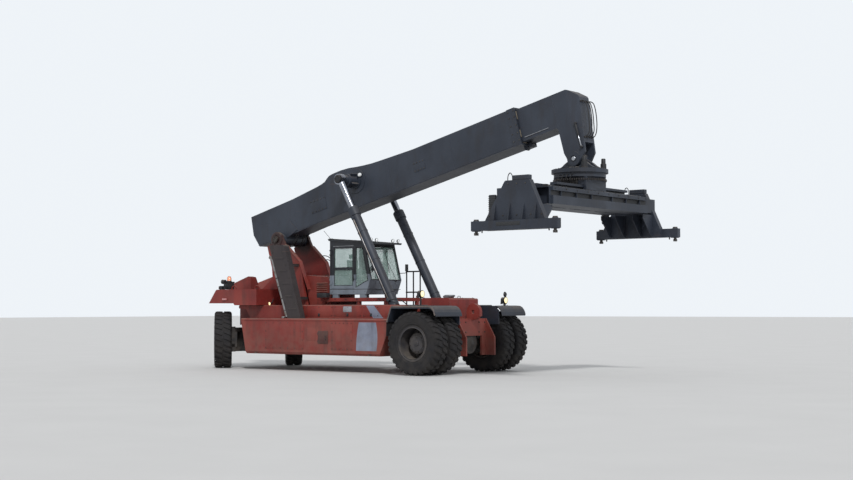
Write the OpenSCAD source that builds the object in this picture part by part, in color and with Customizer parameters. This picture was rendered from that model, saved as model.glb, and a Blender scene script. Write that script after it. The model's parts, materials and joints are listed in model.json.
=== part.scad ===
// Reach stacker: a machine that lifts containers with a telescopic boom.
// The front axle lies above x = 0, the boom points along +X, and z = 0 is the ground.
// Every node is moved at the end so that the origin is the middle of the footprint.

/* [Wheels and axles] */
// Outer diameter of every tyre
tyre_d = 1655; // [1560:5:1700]
// Width of one tyre
tyre_w = 500; // [420:10:510]
// Diameter of the seat of a tyre on its rim
rim_d = 900; // [820:10:960]
// Distance between the front and the rear axle
wheelbase = 7500; // [7200:50:9200]
// Middle of a pair of front twin wheels, from the middle of the machine
twin_y = 1515; // [1500:5:1700]
// Gap between the two tyres of a twin
twin_gap = 130; // [80:5:200]
// Kingpin of a rear wheel, from the middle of the machine
kingpin_y = 1075; // [1000:5:1200]
// Rear wheel centre, outboard of its kingpin
kingpin_offset = 300; // [290:5:400]
// Angle at which the rear wheels stand, clockwise negative
steer_rest = -45; // [-50:1:50]
// Radius of a kingpin
kingpin_r = 60; // [40:5:70]

/* [Frame] */
// Width over the two frame side plates
frame_w = 1340; // [1200:10:1400]
// Thickness of a frame side plate
frame_t = 50; // [30:5:70]
// Height of the top of the frame
frame_top = 1460; // [1400:10:1600]
// Height of the bottom of the frame
frame_bottom = 560; // [480:10:620]
// Front end of the frame, ahead of the front axle
frame_nose = 700; // [600:10:900]
// Length behind the rear axle
rear_overhang = 600; // [500:10:800]
// Height of the walking deck
deck_z = 1830; // [1780:10:1900]
// Top of the counterweight
weight_top = 2290; // [2100:10:2500]
// Width over the counterweight
weight_w = 3300; // [3000:20:3500]
// Width over the side tanks
tank_w = 3500; // [3200:20:3700]
// Height of the ledge on the side tanks
ledge_z = 1460; // [1400:10:1540]
// Width over the upper faces of the side tanks, above the ledge
upper_w = 2700; // [2560:20:2900]
// Inner width between the two tower plates
tower_w = 1060; // [980:10:1160]
// Bottom of the side tanks
tank_bottom = 460; // [400:10:600]

/* [Cab] */
// Length of the cab floor
cab_l = 1400; // [1300:10:1700]
// Width of the cab
cab_w = 1380; // [1250:10:1420]
// Underside of the cab
cab_z = 2130; // [2100:10:2250]
// Height of the cab
cab_h = 1570; // [1500:10:1640]
// How far the roof of the cab falls from rear to front
roof_fall = 130; // [60:10:160]
// Rear wall of the cab, behind the front axle
cab_back = 4050; // [3900:10:4200]
// Thickness of a cab wall and of a door
cab_t = 45; // [35:5:60]
// Gap round a closed door
door_gap = 8; // [7:1:12]

/* [Boom] */
// Angle of the boom above level
boom_rest = 14.2; // [10:0.1:18]
// Boom pivot, ahead of the rear axle
pivot_ahead = 1300; // [1100:10:1500]
// Height of the boom pivot
pivot_z = 3750; // [3700:10:3900]
// Front end of the outer boom, along the boom from the pivot
boom_l = 8760; // [8400:20:9400]
// Width of the outer boom
boom_w = 700; // [620:10:760]
// Height of the outer boom ahead of its hump
boom_h = 985; // [940:5:1000]
// Plate thickness of the boom tubes
boom_t = 30; // [20:2:40]
// Gap between the two boom tubes
boom_gap = 30; // [14:2:40]
// How far the inner boom shows at rest, from the outer boom to the head
boom_out = 1115; // [1100:5:2000]
// Lift cylinder foot, behind the front axle
foot_back = 1350; // [1250:10:1500]
// Height of the lift cylinder foot
foot_z = 1650; // [1600:10:1750]
// Upper lift cylinder pin, along the boom from the pivot
lift_u = 3105; // [3000:5:3160]
// Upper lift cylinder pin, above the line of the boom pivot
lift_v = 847; // [800:1:880]
// Middle of a lift cylinder, from the middle of the machine
lift_y = 1000; // [960:10:1060]
// Radius of a lift cylinder barrel
barrel_r = 135; // [110:5:150]
// Radius of a lift cylinder rod
rod_r = 95; // [70:5:100]

/* [Spreader] */
// Twistlock spacing along the container at rest
lock_long = 5853; // [5600:1:6100]
// Twistlock spacing across the container
lock_wide = 2259; // [2100:1:2400]
// Height of the tilt axis above the twistlock tips
hang = 2010; // [1950:10:2200]
// Radius of the turntable
turntable_r = 720; // [600:10:760]
// Outer width of one spreader tube
tube_w = 560; // [500:10:600]
// Outer height of one spreader tube
tube_h = 420; // [380:10:460]
// Length of the spreader tubes
tube_l = 4700; // [4500:50:5000]

/* [Hidden] */
$fn = 96;
// Running gap of a pin in its bore and seating gap of a fitted piece
pin_gap = 0.5;
seat_gap = 0.3;
// Gap between pieces that move past each other
run_gap = 12;

tyre_r = tyre_d / 2;
shoulder = 90;
rear_x = -wheelbase;
rear_end = rear_x - rear_overhang;
pivot = [rear_x + pivot_ahead, pivot_z];
foot = [-foot_back, foot_z];

// A point of the boom's own frame, u along the boom and v square to it
function boom_pt(u, v) = [
    pivot[0] + u * cos(boom_rest) - v * sin(boom_rest),
    pivot[1] + u * sin(boom_rest) + v * cos(boom_rest)];

lift_pin = boom_pt(lift_u, lift_v);
lift_len = norm(lift_pin - foot);
lift_angle = atan2(lift_pin[1] - foot[1], lift_pin[0] - foot[0]);
// The barrel ends where a fully lowered boom leaves room for the rod eye
barrel_l = 3240;

head_u = boom_l + boom_out;
tilt_u = head_u + 250;
tilt_v = -757;
tilt = boom_pt(tilt_u, tilt_v);
lock_tip = tilt[1] - hang;
end_beam_half = lock_wide / 2 + 110;
end_beam_w = 150;
front_end = tilt[0] + end_beam_half;
// The turned rear wheel reaches furthest back, or else the counterweight
tyre_reach = max([for (p = [[tyre_r, tyre_w / 2 - 60], [tyre_r - shoulder, tyre_w / 2 - 15],
    [tyre_r - 200, tyre_w / 2]]) p[0] * cos(steer_rest) + p[1] * abs(sin(steer_rest))]);
rear_most = rear_x - max(rear_overhang, kingpin_offset * abs(sin(steer_rest)) + tyre_reach);
origin_x = (rear_most + front_end) / 2;

// A box from ranges of x, y and z
module box(x, y, z)
    translate([x[0], y[0], z[0]]) cube([x[1] - x[0], y[1] - y[0], z[1] - z[0]]);

// An outline of [x, z] points, extruded over a range of y
module side_slab(outline, y)
    translate([0, y[1], 0]) rotate([90, 0, 0]) linear_extrude(y[1] - y[0]) polygon(outline);

// An outline of [y, z] points, extruded over a range of x
module cross_slab(outline, x)
    translate([x[0], 0, 0]) rotate([90, 0, 90]) linear_extrude(x[1] - x[0]) polygon(outline);

// A bar along Y through the point [x, z]
module bar_y(at, y, r)
    translate([at[0], y[1], at[1]]) rotate([90, 0, 0]) cylinder(r = r, h = y[1] - y[0]);

// A bar along X through the point [y, z]
module bar_x(at, x, r)
    translate([x[0], at[0], at[1]]) rotate([0, 90, 0]) cylinder(r = r, h = x[1] - x[0]);

// A bar along Z through the point [x, y]
module bar_z(at, z, r)
    translate([at[0], at[1], z[0]]) cylinder(r = r, h = z[1] - z[0]);

module left(is_left)
    if (is_left) mirror([0, 1, 0]) children(); else children();

module both_sides() {
    children();
    mirror([0, 1, 0]) children();
}

// Moves the machine's own frame to the frame of the part
module placed() translate([-origin_x, 0, 0]) children();

// The boom's own frame, with x along the boom
module in_boom() translate([pivot[0], 0, pivot[1]]) rotate([0, -boom_rest, 0]) children();

/* Chassis */

// The frame plates end here, ahead of the steered wheels
arch_x = rear_x + 1080;

// Side outline of the frame: low between the axles, open over the front axle
module frame_plate(y) {
    side_slab([
        [frame_nose, frame_bottom - 80], [frame_nose, frame_bottom + 400],
        [frame_nose - 290, frame_top], [arch_x - 120, frame_top],
        [arch_x + 40, frame_bottom], [-1100, frame_bottom],
        [-420, frame_bottom + 130], [-420, frame_bottom - 80]], y);
}

foot_pin_r = 60;
axle_r = 210;
seat_z = tyre_r + axle_r + 160;
bracket_z = [frame_top - 420, frame_top - 260];
bracket_y = lift_y + 130;
module main_frame() color("orangered") placed() {
    half = frame_w / 2;
    inner = half - frame_t;
    difference() {
        union() {
            both_sides() frame_plate([-half, -inner]);
            // Nose plate with the opening for the differential
            difference() {
                box([frame_nose - 330, frame_nose - 280], [-inner, inner],
                    [frame_bottom - 80, frame_top]);
                box([frame_nose - 340, frame_nose - 270], [-430, 430],
                    [frame_bottom - 90, frame_bottom + 440]);
            }
            // Cross members between the side plates
            for (x = [-1250, -3300, -5250])
                box([x - 60, x + 60], [-inner, inner], [frame_bottom + 100, frame_top - 40]);
            // Top plate under the cab and the hood
            box([arch_x - 120, -4150], [-inner, inner], [frame_top - 40, frame_top]);
            box([-1900, frame_nose - 330], [-inner, inner], [frame_top - 40, frame_top]);
            // Rounded tow lug on the nose
            side_slab([[frame_nose - 430, frame_top - 20], [frame_nose - 430, 1640],
                [frame_nose, 1640], [frame_nose, frame_top + 60],
                [frame_nose - 250, frame_top - 20]], [-60, 60]);
            bar_y([frame_nose - 215, 1640], [-60, 60], 215);
            // Seat plate on top of the front axle
            box([-300, 300], [-inner, inner], [seat_z, seat_z + 40]);
            // Beam that carries the rear end over the steer axle
            box([rear_end + 150, arch_x - 60], [-rear_beam_y, rear_beam_y],
                [rear_beam_z, frame_top]);
        }
        // Notches for the front axle
        both_sides() {
            bar_y([0, tyre_r], [-half - 1, -inner + 1], axle_r + run_gap);
            box([-axle_r - run_gap, axle_r + run_gap], [-half - 1, -inner + 1],
                [frame_bottom - 100, tyre_r]);
        }
        // Pin bore of the tow lug
        bar_y([frame_nose - 215, 1640], [-70, 70], 55);
    }
}

// Brackets for the lift cylinder feet, beside the frame
module lift_brackets() color("orangered") placed() both_sides() difference() {
    union() {
        for (y = [-bracket_y, -lift_y + 90]) {
            side_slab([[foot[0] - 330, bracket_z[1]], [foot[0] + 330, bracket_z[1]],
                [foot[0] + 150, foot[1]], [foot[0] - 150, foot[1]]], [y, y + 40]);
            bar_y(foot, [y, y + 40], 150);
        }
        box([foot[0] - 330, foot[0] + 330], [-bracket_y, -frame_w / 2 - seat_gap], bracket_z);
    }
    bar_y(foot, [-lift_y - 140, -lift_y + 140], foot_pin_r + pin_gap);
}

// Housing of the valves, on the frame behind the nose and open to the rear
housing_top = 2000;
module front_housing() color("orangered") placed() difference() {
    half = frame_w / 2 - 20;
    side_slab([[-870, frame_top + seat_gap], [-870, housing_top - 15], [-855, housing_top],
        [110, housing_top], [140, housing_top - 30], [140, frame_top + seat_gap]],
        [-half, half]);
    box([-871, 105], [-half + 35, half - 35], [frame_top, housing_top - 35]);
}
rear_beam_y = 360;
rear_beam_z = 1250;

// Front of the counterweight beside the tower, and between the tower plates
weight_front = rear_x + 1500;
weight_back = rear_x + 1080;
// Rear end of the tower plates, which stand in slots of the counterweight
plate_end = rear_x + 320;
// Here the sides of the counterweight turn inwards
weight_bend = rear_x + 620;
module counterweight() color("orangered") placed() {
    half = weight_w / 2;
    difference() {
        intersection() {
            side_slab([[rear_end, weight_top - 400], [rear_end + 320, weight_top - 30],
                [rear_end + 380, weight_top], [weight_front, weight_top],
                [weight_front, deck_z + seat_gap], [weight_bend, deck_z + seat_gap],
                [weight_bend - 60, deck_z + 60], [rear_end + 80, deck_z + 60]], [-half, half]);
            // Plan of the casting
            translate([0, 0, deck_z]) linear_extrude(1000) polygon([[weight_front, -half],
                [weight_bend, -half], [rear_end, -half + 150], [rear_end, half - 150],
                [weight_bend, half], [weight_front, half]]);
        }
        box([weight_back, weight_front + 1], [-tower_y, tower_y], [deck_z, weight_top + 10]);
        // Slots for the tower plates
        both_sides() box([plate_end - seat_gap, weight_front + 1],
            [-tower_y - tower_t - seat_gap, -tower_y + seat_gap], [deck_z, weight_top + 10]);
    }
    // Body that fills the space down to the frame, between the wheels
    box([rear_end + 150, weight_back], [-rear_beam_y, rear_beam_y],
        [frame_top + seat_gap, deck_z + 80]);
    // Fins behind the tower, each with a sloped inner face
    outer = tower_y + tower_t;
    both_sides() intersection() {
        cross_slab([[-outer, deck_z], [-outer, weight_top + 500], [-outer + 200, weight_top + 500],
            [-outer + 200, weight_top + 400], [-outer + 395, weight_top],
            [-outer + 395, deck_z]], [rear_end, rear_x + 250]);
        side_slab([[rear_end + 100, weight_top - 300], [rear_end + 100, weight_top + 190],
            [rear_x + 140, weight_top + 400], [rear_x + 250, weight_top + 377],
            [rear_x + 250, weight_top - 60], [rear_end + 320, weight_top - 60]],
            [-half, 0]);
    }
}

tower_y = tower_w / 2;
tower_t = 80;

module tower_plate(y) {
    side_slab([
        [pivot[0] - 380, pivot[1] - 200], [pivot[0] - 190, pivot[1] - 830],
        [pivot[0] - 160, weight_top + 320], [rear_x + 680, weight_top - 10],
        [plate_end, weight_top - 10], [plate_end, frame_top],
        [pivot[0] + 1320, frame_top], [pivot[0] + 1080, weight_top - 30],
        [pivot[0] + 990, weight_top + 560], [pivot[0] + 900, pivot[1] - 660],
        [pivot[0] + 320, pivot[1] - 144], [pivot[0] + 190, pivot[1] + 100]], y);
    bar_y(pivot, y, tower_eye_r);
}
tower_eye_r = 220;

module boom_tower() color("orangered") placed() {
    both_sides() tower_plate([-tower_y - tower_t, -tower_y]);
    // Cross plates between the two tower plates
    box([pivot[0] - 80, pivot[0] + 20], [-tower_y, tower_y], [weight_top, pivot[1] - 930]);
    box([pivot[0] + 800, pivot[0] + 860], [-tower_y, tower_y], [frame_top, pivot[1] - 1050]);
    // Boom pin
    bar_y(pivot, [-tower_y - tower_t - 50, tower_y + tower_t + 50], boom_pin_r);
}
boom_pin_r = 90;

// Slanted shield of the exhaust, on the ledge of the right tank
shield_y = [-1600, -1400];
shield_foot = [pivot[0] + 1380, ledge_z];
shield_top = [pivot[0] + 640, 3530];
shield_w = [490, 600];
// Rear edge of the shield at a height
function shield_x(z) = shield_foot[0]
    + (shield_top[0] - shield_foot[0]) * (z - shield_foot[1]) / (shield_top[1] - shield_foot[1]);
module exhaust_shield() color("dimgray") placed() {
    side_slab([shield_foot + [0, seat_gap], shield_foot + [shield_w[0], seat_gap],
        shield_top + [shield_w[1], -40], shield_top + [shield_w[1] - 60, 0],
        shield_top + [40, 0], shield_top + 0.02 * (shield_foot - shield_top)], shield_y);
    // Brackets to the tower plate
    for (z = [2050, 3000]) {
        box([shield_x(z) - 180, shield_x(z) + 60],
            [shield_y[1] - 1, -tower_y - tower_t - seat_gap], [z, z + 20]);
        side_slab([[shield_x(z), z - 60], [shield_x(z) - 20, z + 1], [shield_x(z) + 60, z + 1],
            [shield_x(z) + 60, z - 60]], [shield_y[1] - 1, -tower_y - tower_t - seat_gap]);
    }
}

pipe_r = 55;
module exhaust_pipe() color("silver") placed() {
    run = shield_top - shield_foot;
    slant = atan2(-run[0], run[1]);
    translate([shield_foot[0], shield_y[0] + 70, shield_foot[1]]) rotate([0, -slant, 0])
        translate([-pipe_r - seat_gap, 0, 60]) cylinder(r = pipe_r, h = 1560);
}

module engine_hood() color("tomato") placed() {
    side_slab([[pivot[0] + 1330, frame_top + seat_gap], [pivot[0] + 1010, weight_top + 380],
        [pivot[0] + 1090, weight_top + 400], [-4290, weight_top + 330],
        [-4200, weight_top + 250], [-4150, weight_top], [-4150, frame_top + seat_gap]],
        [-tower_y + 20, tower_y - 20]);
    // Louvre blades on both sides
    both_sides() for (i = [0:5]) translate([-4700, -tower_y + 21, weight_top - 130 + i * 60])
        rotate([35, 0, 0]) translate([0, -30, 0]) cube([420, 31, 8]);
}

module engine_block() color("gray") placed() {
    box([-5150, -3400], [-420, 420], [frame_bottom + 150, frame_top - 60]);
    // Feet on the frame plates
    both_sides() for (x = [-4950, -3750])
        box([x, x + 150], [-frame_w / 2 + frame_t + seat_gap, -419], [1000, 1060]);
}

/* Axles */

stub_r = 145;
module drive_axle() color("dimgray") placed() {
    reach = twin_y + 60;
    bar_y([0, tyre_r], [-reach, reach], stub_r);
    tube = twin_y - tyre_w / 2 - twin_gap - 20;
    bar_y([0, tyre_r], [-tube, tube], axle_r);
    bar_x([0, tyre_r], [-420, 340], 300);
    // Pads under the seat plate of the frame
    both_sides() box([-200, 200], [-frame_w / 2 + frame_t + 30, -frame_w / 2 + frame_t + 190],
        [tyre_r, seat_z - seat_gap]);
}

eye_z = [480, 600, 1055, 1175];
module steer_axle() color("dimgray") placed() {
    difference() {
        union() {
            box([rear_x - 180, rear_x + 180], [-kingpin_y + 260, kingpin_y - 260],
                [eye_z[0], eye_z[3]]);
            both_sides() for (i = [0, 2]) {
                box([rear_x - 120, rear_x + 120], [-kingpin_y, -kingpin_y + 270],
                    [eye_z[i], eye_z[i + 1]]);
                bar_z([rear_x, -kingpin_y], [eye_z[i], eye_z[i + 1]], 120);
            }
            // Cradle up to the rear frame
            box([rear_x - 220, rear_x + 220], [-300, 300], [eye_z[3], rear_beam_z - seat_gap]);
        }
        both_sides() bar_z([rear_x, -kingpin_y], [eye_z[0] - 1, eye_z[3] + 1],
            kingpin_r + pin_gap);
    }
}

/* Side bodies */

module side_tank() {
    half = tank_w / 2;
    upper = upper_w / 2;
    inner = frame_w / 2 + seat_gap;
    difference() {
        intersection() {
            cross_slab([[-half + 40, tank_bottom], [-half, tank_bottom + 60], [-half, ledge_z - 30],
                [-half + 30, ledge_z], [-upper, ledge_z], [-upper, deck_z - 20],
                [-upper + 20, deck_z], [-inner, deck_z], [-inner, tank_bottom]], [rear_x, 0]);
            // The upper body reaches back over the wheel as a thin shelf
            side_slab([[rear_x + 1190, tank_bottom], [rear_x + 980, ledge_z],
                [rear_x + 800, deck_z - 120], [rear_x + 500, deck_z - 90],
                [rear_x + 500, deck_z + 1], [-760, deck_z + 1], [-1360, tank_bottom]],
                [-half - 1, 0]);
        }
        // Well round the foot of the lift cylinder
        box([foot[0] - 500, 0], [-bracket_y - 60, -inner + 1],
            [bracket_z[0] - seat_gap, deck_z + 10]);
        // Hand hole beside the filter, closed by a hatch
        box([-3950, -3640], [-half - 1, -half + 14], [tank_bottom + 400, tank_bottom + 730]);
    }
}
module side_tanks() color("orangered") placed() both_sides() side_tank();

fender_t = 30;
fender_z = deck_z - 30;
module front_fenders() color("dimgray") placed() both_sides() {
    outer = twin_y + twin_gap / 2 + tyre_w - 40;
    inner = twin_y - twin_gap / 2 - tyre_w - 40;
    // Rear flap, flat top and a front that rounds down over the tyres
    top = concat([[-870, fender_z - 420], [-740, fender_z - 60], [-690, fender_z]],
        [for (a = [0:15:75]) [520 + 240 * sin(a), fender_z - 330 * (1 - cos(a))]]);
    side_slab(concat(top, [for (i = [len(top) - 1:-1:0])
        top[i] + (i < 2 ? [fender_t, 0] : [0, -fender_t])]), [-outer, -inner]);
    // Rolled outer edge
    side_slab(concat([for (i = [1:len(top) - 2]) top[i]],
        [for (i = [len(top) - 2:-1:1]) top[i] - [0, 70]]), [-outer - 12, -outer + 1]);
    // Inner skirt
    side_slab([[-640, 1300], [-640, fender_z - 20], [520, fender_z - 20],
        [660, fender_z - 120], [660, 1300]], [-inner, -inner + 25]);
    // Brackets to the frame
    for (x = [-350, 250])
        box([x - 60, x + 60], [-inner + 25, -frame_w / 2 - seat_gap], [1310, 1420]);
}

rail_z = 2030;
module cab_rails() color("firebrick") placed() {
    both_sides() box([-4350, -1960], [-cab_w / 2 - 60, -cab_w / 2 + 90], [1930, rail_z]);
    for (x = [-4120, -3000, -2040])
        box([x, x + 80], [-cab_w / 2 + 90, cab_w / 2 - 90], [1930, rail_z]);
    both_sides() for (x = [-4300, -3000, -2040])
        box([x, x + 80], [-cab_w / 2 - 40, -cab_w / 2 + 60], [deck_z + seat_gap, 1930]);
}

module handrail() color("dimgray") placed() {
    y = tank_w / 2 - 150;
    for (x = [-3100, -2850, -2600])
        bar_z([x, y], [ledge_z + seat_gap, 2800], 20);
    for (z = [2200, 2800]) bar_x([y, z], [-3100, -2600], 20);
}

module lamp_posts() color("dimgray") placed() {
    // Lamps on the front fenders
    for (lamp = [[0, -1700, 2108], [240, 1750, 1950]]) {
        bar_z([lamp[0], lamp[1]], [fender_z + seat_gap, lamp[2] - 48], 22);
        bar_x([lamp[1], lamp[2]], [lamp[0] - 60, lamp[0] + 40], 85);
    }
    // Lamps on the counterweight
    for (y = [-1420, 1420]) {
        box([rear_end + 420, rear_end + 520], [y - 60, y + 60],
            [weight_top + seat_gap, weight_top + 110]);
        bar_z([rear_end + 560, y], [weight_top + seat_gap, weight_top + 200], 20);
        bar_x([y, weight_top + 230], [rear_end + 500, rear_end + 600], 60);
    }
}

module beacon() color("orange") placed() {
    box([rear_end + 440, rear_end + 640], [-1300, -1100], [weight_top + seat_gap, weight_top + 230]);
    bar_z([rear_end + 540, -1200], [weight_top + 230, weight_top + 290], 40);
    bar_z([rear_end + 540, -1200], [weight_top + 290, weight_top + 420], 65);
}

/* Cab */

cab_front = -cab_back + cab_l;
cab_top = cab_z + cab_h;
belt_z = cab_z + 750;
door_x = [-cab_back + 60, -cab_back + 900];
door_z = [cab_z + 170, cab_top - 220];
half_cab = cab_w / 2;
screen_foot = [cab_front + 90, cab_z + 400];
screen_top = [cab_front - 160, cab_top - roof_fall - 60];
screen_z = [cab_z + 405, cab_top - roof_fall - 110];
// Outer face of the windscreen frame at a height
function screen_x(z) = screen_foot[0]
    + (screen_top[0] - screen_foot[0]) * (z - screen_foot[1]) / (screen_top[1] - screen_foot[1]);
// Top of the roof over a place along the cab
function roof_z(x) = cab_top - roof_fall * (x + cab_back) / (cab_l + 60);
cab_outline = [[-cab_back, cab_z], [cab_front - 60, cab_z], screen_foot,
    screen_top, [cab_front - 160, roof_z(cab_front - 160)], [-cab_back, cab_top]];

module cab_shell() color("lightgray") placed() {
    difference() {
        union() {
            side_slab(cab_outline, [-half_cab, half_cab]);
            // Roof edge
            side_slab([[-cab_back - 60, cab_top], [cab_front + 60, cab_top - roof_fall],
                [cab_front + 60, cab_top - roof_fall - 40], [-cab_back - 20, cab_top - 60]],
                [-half_cab - 30, half_cab + 30]);
        }
        // Inside
        side_slab([[-cab_back + cab_t, cab_z + 60], [cab_front - 90, cab_z + 60],
            [cab_front + 40, cab_z + 390], [cab_front - 210, cab_top - roof_fall - 70],
            [-cab_back + cab_t, cab_top - 75]], [-half_cab + cab_t, half_cab - cab_t]);
        // Door openings
        both_sides() box([door_x[0] - door_gap, door_x[1] + door_gap],
            [-half_cab - 1, -half_cab + cab_t + 1],
            [door_z[0] - door_gap, door_z[1] + door_gap]);
        // Front side windows
        both_sides() side_slab(side_window, [-half_cab - 1, -half_cab + cab_t + 1]);
        // Windscreen and rear window
        box([cab_front - 230, cab_front + 100], [-half_cab + 60, half_cab - 60], screen_z);
        box([-cab_back - 1, -cab_back + cab_t + 1], [-half_cab + 90, half_cab - 90],
            [belt_z, cab_top - 150]);
    }
    // Hinge pins of the doors, each between two lugs
    both_sides() for (z = hinge_z) {
        bar_z(hinge_at, [z - 32, z + hinge_h + 32], hinge_pin_r);
        for (lug = [z - 32, z + hinge_h + 2]) {
            bar_z(hinge_at, [lug, lug + 30], hinge_r);
            box([hinge_at[0] - 70, hinge_at[0] - 5], [hinge_at[1], -half_cab + 1],
                [lug, lug + 30]);
        }
    }
    // Runners on the rails
    both_sides() for (x = [-cab_back + 100, cab_front - 300])
        box([x, x + 200], [-half_cab + 10, -half_cab + 80], [rail_z + seat_gap, cab_z]);
}
side_window = [[door_x[1] + 70, cab_z + 190], [door_x[1] + 360, cab_z + 330],
    [cab_front + 10, cab_z + 380], [cab_front - 200, door_z[1] - 60],
    [door_x[1] + 70, door_z[1] - 60]];

module cab_glass() color("lightblue", 0.5) placed() {
    // Windscreen
    side_slab([for (p = [[-26, 0], [-20, 0], [-20, 1], [-26, 1]])
        [screen_x(screen_z[p[1]]) + p[0], screen_z[p[1]]]], [-half_cab + 60, half_cab - 60]);
    both_sides() side_slab(side_window, [-half_cab + 15, -half_cab + 21]);
    box([-cab_back + 15, -cab_back + 21], [-half_cab + 90, half_cab - 90],
        [belt_z, cab_top - 150]);
}

module cab_seat() color("black") placed() {
    box([-3750, -3250], [-240, 240], [cab_z + 420, cab_z + 540]);
    box([-3860, -3740], [-240, 240], [cab_z + 500, cab_z + 1150]);
    bar_z([-3500, 0], [cab_z + 60 + seat_gap, cab_z + 420], 90);
}

module cab_console() color("black") placed() {
    bar_z([-2900, 0], [cab_z + 60 + seat_gap, cab_z + 780], 50);
    translate([-2900, 0, cab_z + 800]) rotate([0, -30, 0]) rotate_extrude()
        translate([190, 0]) circle(r = 16);
    translate([-2900, 0, cab_z + 800]) rotate([0, -30, 0]) cube([380, 40, 20], center = true);
}

hinge_r = 14;
hinge_pin_r = 8;
hinge_h = 90;
hinge_z = [door_z[0] + 130, door_z[1] - 220];
// The hinges stand just outside the cab wall
hinge_at = [door_x[0], -half_cab - hinge_r - 2];
module door(is_left) color("lightgray") placed() left(is_left) {
    difference() {
        box(door_x, [-half_cab, -half_cab + cab_t], door_z);
        box([door_x[0] + 110, door_x[1] - 50], [-half_cab - 1, -half_cab + cab_t + 1],
            [belt_z, door_z[1] - 60]);
        box([door_x[0] + 110, door_x[1] - 50], [-half_cab - 1, -half_cab + cab_t + 1],
            [door_z[0] + 80, belt_z - 60]);
    }
    // Hinge barrels
    for (z = hinge_z) difference() {
        union() {
            bar_z(hinge_at, [z, z + hinge_h], hinge_r);
            box([hinge_at[0], hinge_at[0] + 50], [hinge_at[1], -half_cab + 1], [z, z + hinge_h]);
        }
        bar_z(hinge_at, [z - 1, z + hinge_h + 1], hinge_pin_r + pin_gap);
    }
}
module door_glass(is_left) color("lightblue", 0.5) placed() left(is_left) {
    box([door_x[0] + 110, door_x[1] - 50], [-half_cab + 15, -half_cab + 21],
        [belt_z, door_z[1] - 60]);
    box([door_x[0] + 110, door_x[1] - 50], [-half_cab + 15, -half_cab + 21],
        [door_z[0] + 80, belt_z - 60]);
}
module door_right() door(false);
module door_left() door(true);
module door_right_glass() door_glass(false);
module door_left_glass() door_glass(true);

/* Boom */

// Along a lift cylinder: x from the foot to the upper pin
module along_lift(is_left) placed() left(is_left)
    translate([foot[0], -lift_y, foot[1]]) rotate([0, -lift_angle, 0]) children();

lift_eye_w = 170;
module lift_barrel(is_left) color("dimgray") along_lift(is_left) {
    difference() {
        union() {
            bar_y([0, 0], [-lift_eye_w / 2, lift_eye_w / 2], 130);
            bar_x([0, 0], [60, 170], 80);
            bar_x([0, 0], [162, barrel_l], barrel_r);
            bar_x([0, 0], [barrel_l - 220, barrel_l], barrel_r + 25);
        }
        bar_x([0, 0], [190, barrel_l - 160], rod_r + run_gap);
        // Gland that guides the rod
        bar_x([0, 0], [barrel_l - 161, barrel_l + 1], rod_r + pin_gap);
    }
    bar_y([0, 0], [-138, 138], foot_pin_r);
}
module lift_barrel_right() lift_barrel(false);
module lift_barrel_left() lift_barrel(true);

lift_pin_r = 70;
// Inner end of the rod at rest: it clears the bottom of the barrel with the boom down
rod_start = 875;
// The boss on the boom ends here, beside the rod's eye
lift_boss_y = lift_y - lift_eye_w / 2 - 35;
module lift_rod(is_left) color("silver") along_lift(is_left) {
    bar_x([0, 0], [rod_start, lift_len - 60], rod_r);
    bar_y([lift_len, 0], [-lift_eye_w / 2, lift_eye_w / 2], 150);
    // The pin stops just short of the boss on the boom
    bar_y([lift_len, 0], [-lift_eye_w / 2 - 20, lift_y - lift_boss_y - 6], lift_pin_r);
}
module lift_rod_right() lift_rod(false);
module lift_rod_left() lift_rod(true);

// Underside of the outer boom, above the line of the pivot, and its top ahead of the hump
boom_low = 85;
boom_top = boom_low + boom_h;
// Rear end of the space that the inner boom slides in
bay_start = 1150;
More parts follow.
